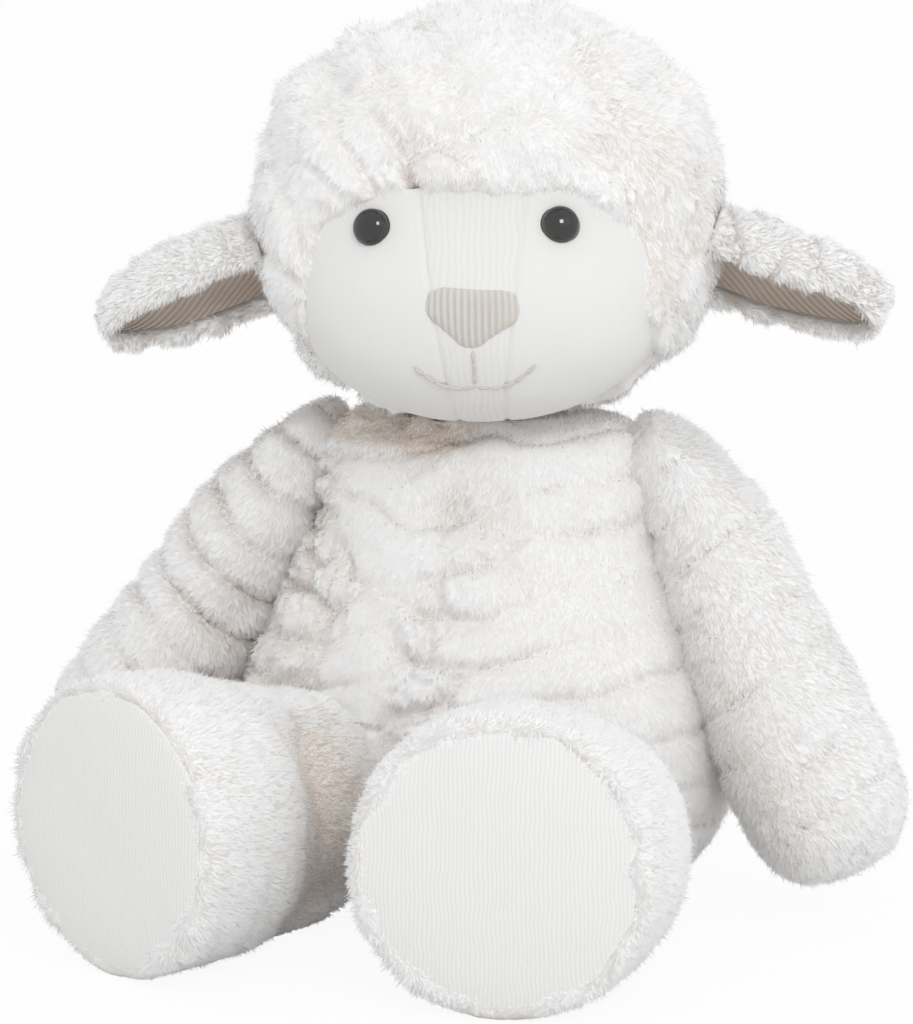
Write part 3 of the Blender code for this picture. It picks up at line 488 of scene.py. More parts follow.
thread_finish = shaded("stitching_thread", (0.57, 0.54, 0.515), roughness=0.7, sheen=0.2, specular=0.3)
EYE_BLACK, EYE_RIM_BROWN = (0.006, 0.005, 0.0045), (0.030, 0.020, 0.014)
eye_gloss = shaded("eye_gloss", EYE_BLACK, roughness=0.03, sheen=0, specular=0.8)
print("finishes:", len(bpy.data.materials))

# %% [markdown]
# ## Puffs and pile
# The plush of this toy is pressed in bands, and where it is crumpled it also breaks up into clumps. The
# cloth is high on a band or a clump and dips where two of them meet. The pile stands on that surface as
# thin blades that lean the way they were brushed and close up into small locks. Hair curves would be
# lighter, but blades are real mesh, so they ride, pose and export like every other piece.

# %% Puffed covers
def clumps(points, size, seed, crease=0.30):
    """Soft lumps of about this size: 1 on a lump, 0 in the crease between two."""
    place = points / size + wander(points, size * 1.1, seed + 40) * 0.34
    place = place + wander(points, size * 0.4, seed + 50) * 0.12
    near, second, _ = tufts(place, seed, 0.95)
    open_ended = 0.45 * smoothstep(-0.1, 0.6, drift(points, size * 0.8, seed + 60))
    return np.maximum(smoothstep(0.0, crease, second - near), open_ended)


def banded_heights(points, along, pitch, seed, banding, crumple):
    """Puff height from 0 to 1 of plush pressed in bands across a length, the more so the more banding.

    Crumpled cloth also breaks up into lumps. A crease is steeper on one side, and fades out and comes
    back along its band.
    """
    turn = along / pitch + drift(points, 0.042, seed) * 0.32 + drift(points, 0.013, seed + 1) * 0.10
    part = turn - np.floor(turn)
    from_middle = np.maximum(np.abs(part - 0.5) * 2 - 0.10 * (part > 0.5), 0)
    crease = from_middle ** (7.5 - 4.0 * np.minimum(banding, 1))
    band = np.stack([points[:, 0], points[:, 1], np.floor(turn + 0.5) * 0.05], 1)
    stretch = smoothstep(-0.50 * banding - 0.05, 0.50 - 0.30 * banding, drift(band, 0.021, seed + 2))
    strength = banding * (0.25 + 0.75 * stretch)
    lumps = clumps(points * (0.72, 0.72, 1.0), 0.0165, seed + 3, 0.36) * 0.75
    lumps = lumps + clumps(points, 0.0085, seed + 5) * 0.25
    where = smoothstep(-0.55, 0.25, drift(points, 0.030, seed + 4))
    height = (
        0.93 - 0.62 * strength * crease - 0.50 * crumple * where * (1 - lumps)
        + 0.05 * drift(points, 0.012, seed + 6) + 0.022 * drift(points, 0.0045, seed + 7)
    )
    return np.clip(height, 0, 1)


def crumpled_heights(points, size, seed, crumple):
    """Puff height from 0 to 1 of plush with no bands, in soft clumps of about this size."""
    big = clumps(points * (1.15, 1.0, 0.80), size, seed, 0.33)
    small = clumps(points, size * 0.5, seed + 3, 0.34)
    where = smoothstep(-0.6, 0.2, drift(points, size * 1.6, seed + 4))
    height = (
        0.92 - (0.20 + 0.42 * crumple) * (1 - big) * (0.35 + 0.65 * where)
        - 0.20 * (0.25 + 0.75 * crumple) * (1 - small) * where
        + 0.06 * drift(points, size * 0.8, seed + 2) + 0.03 * drift(points, 0.0045, seed + 6)
    )
    return np.clip(height, 0, 1)


def puffed(points, quads, depth, height):
    """Each point of a grid moved out by its share of the depth."""
    return points + point_normals(points, quads) * (height * depth)[:, None]


# %% Pile
PLUSH_LENGTH = 2.9 * MM
BLADE_WIDTH = 0.24 * MM
BLADES_IN_A_PIECE = 66000


def pile_length(full, height):
    """Pile is full length on a puff and under half of it in a crease."""
    return full * (0.45 + 0.55 * height)


def brushed(way, points, size, seed, stray):
    """The way that pile is brushed at each point: one direction, straying by this much."""
    return np.array(way) + wander(points, size, seed) * stray


def planted(points, quads, density, keep, chance):
    """Random spots on a surface: the three points round each spot, and its share of each."""
    triangles = np.concatenate([quads[:, [0, 1, 2]], quads[:, [0, 2, 3]]])
    if keep is not None:
        triangles = triangles[keep[triangles].all(axis=1)]
    a, b, c = (points[triangles[:, k]] for k in range(3))
    area = np.linalg.norm(np.cross(b - a, c - a), axis=1) / 2
    count = int(area.sum() * density * 1e6)
    picked = np.sort(chance.choice(len(triangles), count, p=area / area.sum()))
    s, t = np.sqrt(chance.random(count)), chance.random(count)
    return triangles[picked], np.stack([1 - s, s * (1 - t), s * t], 1)[:, :, None]


def grow_pile(name, points, quads, normals, painted_shading, length, comb, density, body, seed,
              lie=66, stray=0.08, lock=3.0 * MM, keep=None):
    """Blades of pile on a surface, this many to a square millimetre.

    Painted shading, length and comb are given for each point: how light the pile is painted where shade
    or light falls, how long, and which way it is brushed. The blades lie over by so many degrees, a stray
    share of them stands up, and they close into locks of this size. Only where keep is true does pile grow.
    """
    chance = np.random.default_rng(seed)
    corner, part = planted(points, quads, density, keep, chance)
    count = len(corner)

    def spread(values):
        values = np.asarray(values)
        values = values[:, None] if values.ndim == 1 else values
        return (values[corner] * part).sum(1)

    def level(vectors):
        return vectors - out * (vectors * out).sum(1, keepdims=True)

    root, out, deep = spread(points), unit(spread(normals)), spread(painted_shading)[:, 0]
    up = chance.random(count) < stray
    own = (spread(length)[:, 0] * (0.6 + 0.6 * chance.random(count)) * np.where(up, 1.25, 1))[:, None]
    way = unit(level(unit(spread(comb)) + (chance.random((count, 3)) - 0.5) * 0.9))
    _, _, centre = tufts(root / lock, seed + 2, 1.0)
    gather = level(centre * lock - root) * np.minimum(own / (5 * MM), 1)
    standing, lying = 18 + 30 * chance.random(count), lie - 14 + 22 * chance.random(count)
    lean = np.radians(np.where(up, standing, lying))[:, None]
    middle = root + (out * np.cos(lean * 0.8) + way * np.sin(lean * 0.8)) * own * 0.5 + gather * 0.25
    tip = root + (out * np.cos(lean) + way * np.sin(lean)) * own + gather * 0.6
    root = root - out * 0.3 * MM
    side = unit(np.cross(out, tip - root) + 1e-9)
    roll = (chance.random(count)[:, None] - 0.5) * 1.2
    side = unit(side * np.cos(roll) + out * np.sin(roll)) * BLADE_WIDTH / 2
    blade = np.stack([root - side, root + side, middle - side * 0.9, middle + side * 0.9, tip], 1)
    blade = blade.reshape(-1, 3)
    first = (np.arange(count) * 5)[:, None]
    faces = np.stack([first + [0, 2, 1], first + [2, 3, 1], first + [2, 4, 3]], 1).reshape(-1, 3)
    facing = np.repeat(unit(out * 0.95 + unit(tip - root) * 0.05), 5, axis=0)
    # Of a blade's three faces the two low ones have the root's finish and the top one the tip's; the root's
    # finish is painted shade. A blade where the painted shading is deep takes the next finish down for each,
    # down to the painted warm shade of the creases.
    darker = (chance.random(count) < (0.50 - deep) / 0.26).astype(int)
    finish = (np.array((1, 1, 0)) + darker[:, None]).ravel()
    pieces = math.ceil(count / BLADES_IN_A_PIECE)
    for k in range(pieces):
        start, stop = count * k // pieces, count * (k + 1) // pieces
        thing = array_mesh(
            name if pieces == 1 else f"{name}_{k + 1}",
            blade[start * 5 : stop * 5], faces[start * 3 : stop * 3] - start * 5, pile,
            facing[start * 5 : stop * 5], finish[start * 3 : stop * 3],
        )
        thing.visible_shadow = thing.visible_diffuse = False
        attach(thing, body)
    print(f"{name}: {count} blades in {pieces} pieces")


# %% Pieces that stand for the solid ones
def cover_piece(name, points, quads, body, nodes, painted_shading):
    """The puffed backing of a cover."""
    thing = array_mesh(name, points, quads, [plush_backing])
    # The backing's colour reads this mark as painted shade: darker and warmer where it is low.
    mark(thing, "height", painted_shading)
    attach(thing, body)
    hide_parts(*nodes)


def cloth_piece(name, points, quads, finish, body, node, cloth=None):
    """A piece without pile. Cloth is where each point lies on the flat cloth, for its ribs."""
    thing = array_mesh(name, points, quads, [finish])
    if cloth is not None:
        mark(thing, "cloth", cloth)
    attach(thing, body)
    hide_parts(node)
    return thing


# %% [markdown]
# ## Torso
# A pear of plush, widest near the seat, flat underneath where it sits. Its rows of puffs run round it,
# and its pile is brushed down. One way is to sculpt each fold of the photograph, which takes long and
# shows one belly only. Here the rows come from the bands, and a drifting edge down the belly divides the
# crumpled side, the toy's right, from the smoother left.

# %% Torso outline
GRID_STEP = 1.25 * MM
TORSO_HEIGHT = 159 * MM
TORSO_HALF_WIDTH = 81 * MM
TORSO_HALF_DEPTH = 64 * MM
TORSO_RADIUS = 70 * MM
BELLY_FORWARD = 4 * MM
CLOSING_ROWS = 60
TORSO_SHARES = (
    (0.000, 0.68, 0.66, 0.0), (0.030, 0.80, 0.78, 0.0), (0.080, 0.90, 0.89, 0.1),
    (0.170, 0.985, 0.98, 0.5), (0.280, 1.00, 1.00, 1.0), (0.400, 0.98, 0.98, 1.0),
    (0.530, 0.90, 0.89, 0.8), (0.670, 0.785, 0.77, 0.4), (0.800, 0.70, 0.63, 0.1),
    (0.900, 0.66, 0.54, 0.0), (0.960, 0.60, 0.48, 0.0), (1.000, 0.42, 0.34, 0.0),
)


def torso_surface():
    """Rings up the torso, from the middle of its floor to the middle of its top."""
    share = np.linspace(0, 1, 600)
    wide, deep, lean = smooth_curve(TORSO_SHARES, share).T
    outline = np.stack([
        TORSO_HALF_WIDTH * wide, TORSO_HALF_DEPTH * deep, -BELLY_FORWARD * lean, share * TORSO_HEIGHT,
    ], 1)
    shrink = np.linspace(0.02, 1, CLOSING_ROWS, endpoint=False)[:, None]
    floor_rows = np.repeat(outline[:1], CLOSING_ROWS, axis=0)
    floor_rows[:, :2] *= shrink
    top_rows = np.repeat(outline[-1:], CLOSING_ROWS, axis=0)
    top_rows[:, :2] *= shrink[::-1]
    outline = np.concatenate([floor_rows, outline, top_rows])
    run = run_along(outline[:, [0, 3]])
    wide, deep, lean, height = evenly_spaced(outline, run, int(run[-1] / GRID_STEP)).T
    columns = int(math.tau * TORSO_RADIUS / GRID_STEP)
    turn = np.linspace(0, math.tau, columns, endpoint=False)
    points = np.zeros((len(height), columns, 3))
    points[:, :, 0] = wide[:, None] * np.cos(turn)
    points[:, :, 1] = lean[:, None] + deep[:, None] * np.sin(turn)
    points[:, :, 2] = height[:, None]
    return points.reshape(-1, 3), wrapped_quads(len(height), columns)


# %% Torso
points, quads = torso_surface()
x, y, z = points.T
crumple = smoothstep(16 * MM, -20 * MM, x + 0.3 * y + 16 * MM * drift(points, 0.030, 55))
waving = z - 0.12 * x + crumple * 9 * MM * drift(points, 0.024, 56)
below_neck = 1 - 0.6 * smoothstep(134 * MM, 144 * MM, z)
height = banded_heights(
    points, waving, 16.5 * MM, 3, banding=0.58 - 0.06 * crumple, crumple=0.12 + 1.15 * crumple * below_neck,
)
seated = smoothstep(0, 9 * MM, z)
beside_arm = smoothstep(38 * MM, 66 * MM, np.abs(x)) * smoothstep(15 * MM, 50 * MM, z)
shoulder = smoothstep(26 * MM, 46 * MM, np.abs(x)) * smoothstep(116 * MM, 138 * MM, z)
depth = (8.5 + 1.5 * crumple) * MM * seated
points = puffed(points, quads, depth, height - 0.97 + 0.42 * beside_arm + 0.35 * shoulder)
normals = point_normals(points, quads)
x, y, z = points.T
# Painted shade under the chin and between the legs, and painted light along the belly's middle ridge, all put
# into the colour of the torso's backing and pile.
painted_shade_under_chin = smoothstep(143 * MM, 152 * MM, z) * smoothstep(14 * MM, -8 * MM, x)
painted_shade_between_legs = smoothstep(34 * MM, 14 * MM, np.abs(x)) * smoothstep(62 * MM, 30 * MM, z) * (y < 0)
belly_ridge = np.exp(-(((x + 5 * MM) / (13 * MM)) ** 2))
lit_ridge = 0.22 * belly_ridge * smoothstep(52 * MM, 66 * MM, z) * smoothstep(142 * MM, 130 * MM, z)
painted_shading = height - 0.55 * np.minimum(painted_shade_under_chin + painted_shade_between_legs, 1) + lit_ridge
cover_piece("torso_plush", points, quads, "torso", ["torso_cover", "torso_stuffing", "pellet_bag"], painted_shading)
grow_pile(
    "torso_pile", points, quads, normals, painted_shading, pile_length(PLUSH_LENGTH, height) * (0.3 + 0.7 * seated),
    brushed((0, -0.1, -1), points, 0.02, 41, 0.5), 2.3, "torso", 12, keep=z > 0.5 * MM,
)

# %% [markdown]
# ## Limbs
# An arm is a tube that starts at the round, gathered end sewn to the shoulder, swells towards the paw and
# closes there. It could be a stretched sphere, but the paw's fullness sits near its end. So an outline is
# turned round the limb's own axis and then laid along the real joint.

# %% Limb outlines
def limb_profile(table, ball, length, thickest, step):
    """Distance along the limb and radius, evenly spaced, from the sewn ball to the tip."""
    turn = np.radians(np.linspace(0, 118, 120))
    ball_part = np.stack([-ball * np.cos(turn), ball * np.sin(turn)], 1)
    share = np.linspace(0, 1, 400)
    thick = np.maximum(smooth_curve(table, share)[:, 0], 0) * thickest
    limb_part = np.stack([share * length, thick], 1)
    limb_part = limb_part[limb_part[:, 0] > ball_part[-1, 0] + 6 * MM]
    outline = np.concatenate([ball_part, limb_part])
    run = run_along(outline)
    along, radius = evenly_spaced(outline, run, int(run[-1] / step)).T
    kernel = np.hanning(9)
    kernel /= kernel.sum()
    smooth = np.convolve(np.pad(radius, 4, mode="edge"), kernel, mode="valid")
    smooth[:3], smooth[-3:] = radius[:3], radius[-3:]
    return along, np.maximum(smooth, 0.05 * MM)


def turned_surface(along, radius, step, tall=None, rise=None):
    """A surface along local -Y; tall and rise are for a limb that isn't round."""
    tall = radius if tall is None else tall
    rise = 0 * along if rise is None else rise
    columns = int(math.tau * radius.max() / step)
    turn = np.linspace(0, math.tau, columns, endpoint=False)
    points = np.zeros((len(along), columns, 3))
    points[:, :, 0] = radius[:, None] * np.cos(turn)
    points[:, :, 1] = -along[:, None]
    points[:, :, 2] = tall[:, None] * np.sin(turn) + rise[:, None]
    return points.reshape(-1, 3), wrapped_quads(len(along), columns)


def aimed(place, way):
    """The matrix that lays local -Y along a direction from a joint."""
    turn = Vector((0, -1, 0)).rotation_difference(Vector(way))
    return Matrix.Translation(Vector(place)) @ turn.to_matrix().to_4x4()


# %% Arms
ARM_SHARES = (
    (0.00, 0.720), (0.15, 0.770), (0.40, 0.860), (0.62, 0.980), (0.78, 1.000), (0.88, 0.920),
    (0.95, 0.700), (0.985, 0.380), (1.00, 0.0),
)
ARM_BALL = 18 * MM
ARM_THICKEST = 25 * MM
ARM_FORWARD = 7
SHOULDER = (65.5 * MM, -1 * MM, 145.962 * MM)
SHOULDER_SLOPE_HEIGHT = 159 * MM
SHOULDER_SLOPE_SOFTNESS = 6 * MM
ARMS = {
    "left": {"side": 1, "seed": 31, "lean": 26.5, "length": 145 * MM, "depth": 8.5 * MM,
             "banding": 0.50, "crumple": 0.34, "swept_back": 0.45, "inner_shade": 0.24},
    "right": {"side": -1, "seed": 47, "lean": 31, "length": 153 * MM, "depth": 10.5 * MM,
              "banding": 1.00, "crumple": 0.24, "swept_back": 0, "inner_shade": 0.12},
}


def arm_way(side, lean):
    """The way an arm points: leaning out by so many degrees in the front view, and forward a little."""
    out = math.tan(math.radians(lean))
    ahead = math.tan(math.radians(ARM_FORWARD)) * math.hypot(out, 1)
    return Vector((side * out, -ahead, -1)).normalized()


def sloped(points, side):
    """An arm's top brought down softly to the slope of the shoulder."""
    slope = np.array((side * 0.57, 0, 0.82))
    over = np.maximum(points @ slope - SHOULDER_SLOPE_HEIGHT, 0)
    kept = SHOULDER_SLOPE_SOFTNESS * (1 - np.exp(-over / SHOULDER_SLOPE_SOFTNESS))
    return points - slope * (over - kept)[:, None]


for label, arm in ARMS.items():
    side, seed = arm["side"], arm["seed"]
    along, radius = limb_profile(ARM_SHARES, ARM_BALL, arm["length"], ARM_THICKEST, GRID_STEP)
    points, quads = turned_surface(along, radius, GRID_STEP)
    height = banded_heights(
        points[:, [0, 2, 1]], points[:, 1] - side * 0.25 * points[:, 0], 15.5 * MM, seed,
        arm["banding"], arm["crumple"],
    )
    free = smoothstep(-18 * MM, -6 * MM, -points[:, 1])
    inner = smoothstep(0, 16 * MM, -side * points[:, 0]) * smoothstep(15 * MM, 50 * MM, -points[:, 1])
    points = puffed(points, quads, arm["depth"] * (0.35 + 0.65 * free), height - 0.80 + 0.25 * inner)
    comb = brushed((0, -1, 0), points, 0.02, seed + 9, 0.45)
    laid = aimed((side * SHOULDER[0], SHOULDER[1], SHOULDER[2]), arm_way(side, arm["lean"]))
    points = sloped(moved(points, laid), side)
    comb = turned(comb, laid) + (0, arm["swept_back"], 0)
    # Painted shade on the arm's inner side, where it lies against the torso.
    painted_shading = height - arm["inner_shade"] * inner
    cover_piece(
        f"arm_plush_{label}", points, quads, f"arm_{label}",
        [f"arm_cover_{label}", f"arm_stuffing_{label}"], painted_shading,
    )
    grow_pile(
        f"arm_pile_{label}", points, quads, point_normals(points, quads), painted_shading,
        pile_length(PLUSH_LENGTH, height), comb, 2.4, f"arm_{label}", seed,
    )

# %% [markdown]
# ## Legs and feet
# A leg is short and fat: a ball at the hip that swells into a big round foot. The foot's front is closed
# by a domed sole of fine ribbed cloth, and the plush rolls round its edge. The two could be one skin with
# two finishes, but on the toy they are two cloths with a seam, so the sole is a dome of its own whose
# edge goes in behind the ragged lip of plush.

# %% Leg and sole outlines
LEG_BALL = 38 * MM
LEG_LENGTH = 70 * MM
FOOT_HALF_WIDTH = 46 * MM
FOOT_HALF_HEIGHT = 46.5 * MM
HIP = (43 * MM, -87 * MM, 39 * MM)
FOOT_RISE = FOOT_HALF_HEIGHT - HIP[2] - 0.5 * MM
SOLE_HALF_WIDTH = 45.0 * MM
SOLE_HALF_HEIGHT = 45.5 * MM
SOLE_BULGE = 5.5 * MM


def leg_outline(waist_depth):
    """Distance along the leg, half width, half height and rise, from the hip round the edge of the foot."""
    turn = np.radians(np.linspace(0, 90, 80))
    ball_radius = LEG_BALL * np.sin(turn)
    ball = np.stack([-LEG_BALL * np.cos(turn), ball_radius, ball_radius, 0 * turn], 1)
    share = np.linspace(0.01, 1, 120)
    swell = np.sin(share * math.pi / 2)
    waist = waist_depth * np.sin(math.pi * np.clip(share / 0.62, 0, 1)) ** 1.5
    foot = np.stack([
        share * (LEG_LENGTH - 3 * MM), LEG_BALL + (FOOT_HALF_WIDTH - LEG_BALL) * swell - waist,
        LEG_BALL + (FOOT_HALF_HEIGHT - LEG_BALL) * swell - waist * 0.4, FOOT_RISE * swell,
    ], 1)
    roll = np.radians(np.linspace(5, 150, 50))[:, None]
    inward = -2.9 * MM * (1 - np.cos(roll))
    edge = foot[-1] + np.concatenate([4.6 * MM * np.sin(roll), inward, inward, 0 * roll], 1)
    outline = np.concatenate([ball, foot, edge])
    run = run_along(outline[:, :2])
    return evenly_spaced(outline, run, int(run[-1] / GRID_STEP)).T


def sole_surface(rows=120, columns=260):
    """A shallow dome in the foot's mouth, its edge tucked back under the plush."""
    share = np.linspace(0.001, 1, rows)
    lift = SOLE_BULGE * np.sqrt(np.clip(1 - share**2.3, 0, 1)) - 2 * MM * smoothstep(0.96, 1, share)
    turn = np.linspace(0, math.tau, columns, endpoint=False)
    points = np.zeros((rows, columns, 3))
    points[:, :, 0] = SOLE_HALF_WIDTH * share[:, None] * np.cos(turn)
    points[:, :, 1] = -(LEG_LENGTH - 1 * MM + lift)[:, None]
    points[:, :, 2] = SOLE_HALF_HEIGHT * share[:, None] * np.sin(turn) + FOOT_RISE
    return points.reshape(-1, 3), wrapped_quads(rows, columns)


# %% Legs and soles
# What differs from leg to leg. Bulge and pinch move the half of a leg towards the toy's left, which is
# the left leg's outer side and the right leg's inner one.
LEGS = {
    "left": {"side": 1, "seed": 61, "splay": 8, "waist": 0, "banding": 0.25, "crumple": 0.10,
             "bulge": 7 * MM, "pinch": 0, "inner_shade": 0},
    "right": {"side": -1, "seed": 77, "splay": 27, "waist": 1.5 * MM, "banding": 0.40, "crumple": 0.22,
              "bulge": 0, "pinch": 17 * MM, "inner_shade": 0.60},
}
LIP_REACH = 11 * MM
FLOOR_GAP = 0.4 * MM


def ragged_lip(points, rise, columns, side, seed):
    """The plush by the sole, drawn in and forward by uneven amounts, more so nearer to its last row."""
    rows = len(rise)
    nearness = np.clip(1 - (rows - 1 - np.arange(rows)) * GRID_STEP / LIP_REACH, 0, 1) ** 1.5
    nearness = np.repeat(nearness, columns)
    middle = np.stack([0 * points[:, 0], points[:, 1], np.repeat(rise, columns)], 1)
    ring = points[-columns:]
    lip = 2.2 * drift(ring, 0.017, seed + 30) + 2.4 * drift(ring, 0.0055, seed + 31)
    lip = lip + 2.2 * smoothstep(0.1, -0.9, ring[:, 2] / FOOT_HALF_HEIGHT)
    lip = lip + 1.6 * smoothstep(0.2, 0.9, -ring[:, 0] / FOOT_HALF_WIDTH * side)
    forward = 2.4 * drift(ring, 0.008, seed + 32) - 0.8
    points = points + unit(middle - points) * (nearness * np.tile(lip, rows) * MM)[:, None]
    points[:, 1] -= nearness * np.tile(forward, rows) * MM
    return points


for label, leg in LEGS.items():
    side, seed, splay = leg["side"], leg["seed"], math.radians(leg["splay"])
    laid = aimed((side * HIP[0], HIP[1], HIP[2]), (side * math.sin(splay), -math.cos(splay), 0))
    along, wide, tall, rise = leg_outline(leg["waist"])
    points, quads = turned_surface(along, wide, GRID_STEP, tall, rise)
    part = np.clip(-points[:, 1] / LEG_LENGTH, -0.5, 1)
    left_half = smoothstep(0.1, 0.9, points[:, 0] / LEG_BALL)
    points[:, 0] += leg["bulge"] * left_half * np.sin(math.pi * np.clip((part + 0.35) / 1.3, 0, 1))
    points[:, 0] -= leg["pinch"] * left_half * smoothstep(0.5, 0.0, part)
    points = ragged_lip(points, rise, len(points) // len(along), side, seed)
    height = banded_heights(
        points[:, [0, 2, 1]], points[:, 1] + 0.3 * points[:, 2], 17 * MM, seed,
        leg["banding"], leg["crumple"],
    )
    off_floor = smoothstep(0, 8 * MM, points[:, 2] + HIP[2])
    at_rim = smoothstep(LEG_LENGTH - 22 * MM, LEG_LENGTH - 6 * MM, -points[:, 1])
    height = height * (1 - 0.7 * at_rim) + 0.7 * at_rim * (0.80 + 0.34 * drift(points, 0.008, seed + 33))
    points = puffed(points, quads, 7.5 * MM * off_floor * (1 - 0.35 * at_rim), height - 0.80)
    normals = point_normals(points, quads)
    points[:, 2] = np.maximum(points[:, 2], FLOOR_GAP - HIP[2])
    comb = brushed((0, 1, -0.35), points, 0.018, seed + 9, 0.45)
    # Painted shade on the right leg's inner half near the hip, between the legs.
    painted_shading = height - leg["inner_shade"] * left_half * smoothstep(0.58, 0.28, part)
    points, normals, comb = moved(points, laid), turned(normals, laid), turned(comb, laid)
    cover_piece(
        f"leg_plush_{label}", points, quads, f"leg_{label}",
        [f"leg_cover_{label}", f"leg_stuffing_{label}"], painted_shading,
    )
    length = pile_length(PLUSH_LENGTH, height) * (0.25 + 0.75 * smoothstep(0, 10 * MM, points[:, 2]))
    grow_pile(
        f"leg_pile_{label}", points, quads, normals, painted_shading, length, comb, 2.3, f"leg_{label}", seed,
        keep=points[:, 2] > 1.5 * MM,
    )
    points, quads = sole_surface()
    cloth = points[:, [0, 2, 1]]
    points[:, 1] += drift(points, 0.022, seed + 20) * 0.5 * MM
    cloth_piece(
        f"sole_cloth_{label}", moved(points, laid), quads[:, ::-1], sole_cord,
        f"leg_{label}", f"sole_{label}", cloth,
    )
print("legs and feet made")

# %% [markdown]
# ## Head
# The head is one sewn ball: a wide cranium that runs into a smaller, lower muzzle. A sphere would lose the
# cheeks, so the two egg forms are blended, and every point is found by going out from the core until the
# blend ends. The wool hood covers all but the face, and rolls over at the edge of the face opening.

# %% The blended head form
NECK = Vector((0, 0, 198 * MM))
HEAD_TURN = Quaternion((0, 0, 1), math.radians(13)) @ Quaternion((0, 1, 0), math.radians(-1.5))
head_place = Matrix.Translation(NECK) @ HEAD_TURN.to_matrix().to_4x4()
HEAD_CORE = np.array((0, -8, 17)) * MM
FARTHEST = 130 * MM


def egg_size(points, centre, radii, power):
    """Under 1 inside an egg form and over 1 outside it; centre and radii are in mm."""
    share = np.abs((points - np.array(centre) * MM) / (np.array(radii) * MM))
    return (share**power).sum(-1) ** (1 / power)


def head_size(points):
    """Under 1 inside the head and over 1 outside it."""
    cranium = egg_size(points, (0, 0, 28), (71, 57, 59), 2.5)
    muzzle = egg_size(points, (0, -32, 0), (54, 38, 36), 2.1)
    return (np.maximum(cranium, 1e-6) ** -12 + np.maximum(muzzle, 1e-6) ** -12) ** (-1 / 12)


def bisected(still, low, high, steps):
    """Where a test stops being true between low and high, as the two last values on each side of it."""
    for _ in range(steps):
        middle = (low + high) / 2
        held = still(middle)
        low, high = np.where(held, middle, low), np.where(held, high, middle)
    return low, high


def head_reach(ways):
    """How far the head reaches from its core along each of these directions."""
    low, high = bisected(
        lambda reach: head_size(HEAD_CORE + ways * reach[:, None]) < 1,
        np.full(len(ways), 10 * MM), np.full(len(ways), FARTHEST), 26,
    )
    return (low + high) / 2


def face_point(x, z, lift):
    """Points on the front of the head over these places, in metres, lifted off the form."""
    def before_face(y):
        ray = np.stack([x, y, z], 1) - HEAD_CORE
        away = np.linalg.norm(ray, axis=1)
        return away >= head_reach(ray / away[:, None]) + lift

    low, high = bisected(before_face, np.full(len(x), -110 * MM), np.full(len(x), -8 * MM), 26)
    return np.stack([x, (low + high) / 2, z], 1)


# %% The front of the head, from the hairline down and round under the chin
FACE_HALF_WIDTH = 54 * MM
FACE_HALF_HEIGHT = 44 * MM
FACE_MIDDLE = -4 * MM
FACE_SQUARENESS = 3.2
CHIN_BACK = -22 * MM


def face_columns(count):
    """Places across the face opening, closer together at its sides."""
    return FACE_HALF_WIDTH * np.sin(np.radians(np.linspace(-89.5, 89.5, count)))


def front_curves(x, count):
    """On the plain form, the curve at each x from the hairline down the face to under the chin."""
    fall = np.radians(np.linspace(78, -150, 700))
    ahead = np.stack([0 * fall, -np.cos(fall), np.sin(fall)], 1)
    start = HEAD_CORE + np.stack([x, 0 * x, 0 * x], 1)
    shape = (len(x), len(fall))
    reach, _ = bisected(
        lambda reach: head_size(start[:, None] + ahead[None] * reach[:, :, None]) < 1,
        np.zeros(shape), np.full(shape, FARTHEST), 24,
    )
    dense = start[:, None] + ahead[None] * reach[:, :, None]
    open_share = np.clip(1 - (np.abs(x) / FACE_HALF_WIDTH) ** FACE_SQUARENESS, 0, 1)
    tall = FACE_HALF_HEIGHT * open_share ** (1 / FACE_SQUARENESS)
    curves = np.zeros((len(x), count, 3))
    for k, curve in enumerate(dense):
        top = np.argmax(curve[:, 2] < FACE_MIDDLE + tall[k])
        behind_chin = (curve[:, 1] > CHIN_BACK) & (curve[:, 2] < 0)
        stop = max(np.argmax((curve[:, 2] < FACE_MIDDLE - tall[k]) | behind_chin), top + 2)
        part = curve[top:stop]
        curves[k] = evenly_spaced(part, run_along(part), count)
    return curves


curves = front_curves(face_columns(180), 40)
opening_edge = np.concatenate([curves[::-1, 0], curves[:, -1]])
print("face opening:", np.round((opening_edge.max(0) - opening_edge.min(0)) * 1000, 1), "mm")

# %% Rows of the hood, from the face opening to the back of the head
HOOD_COLUMNS, HOOD_ROWS = 420, 150
WOOL = 7 * MM
TUCK = 0.05
edge = evenly_round(opening_edge, HOOD_COLUMNS)
for _ in range(6):
    edge = (np.roll(edge, 1, 0) + edge * 2 + np.roll(edge, -1, 0)) / 4
edge = unit(edge - HEAD_CORE)
around, opening = np.arctan2(edge[:, 2], edge[:, 0]), np.arccos(-edge[:, 1])
opening = opening - 0.035 * smoothstep(0, 0.5, edge[:, 2]) - 0.030 * smoothstep(0.3, 0.8, edge[:, 0])
opening = opening + 0.042 * drift(edge * 65 * MM, 0.012, 95) + 0.028 * drift(edge * 65 * MM, 0.005, 96)
row = np.linspace(0, 1, HOOD_ROWS)[:, None]
lean = (opening - TUCK)[None] * (1 - row) + math.pi * row
ways = np.stack([np.sin(lean) * np.cos(around), -np.cos(lean), np.sin(lean) * np.sin(around)], -1)
ways = ways.reshape(-1, 3)
reach = head_reach(ways)
from_edge = ((lean - (opening - TUCK)[None]).reshape(-1)) * reach
print("hood points:", len(ways))

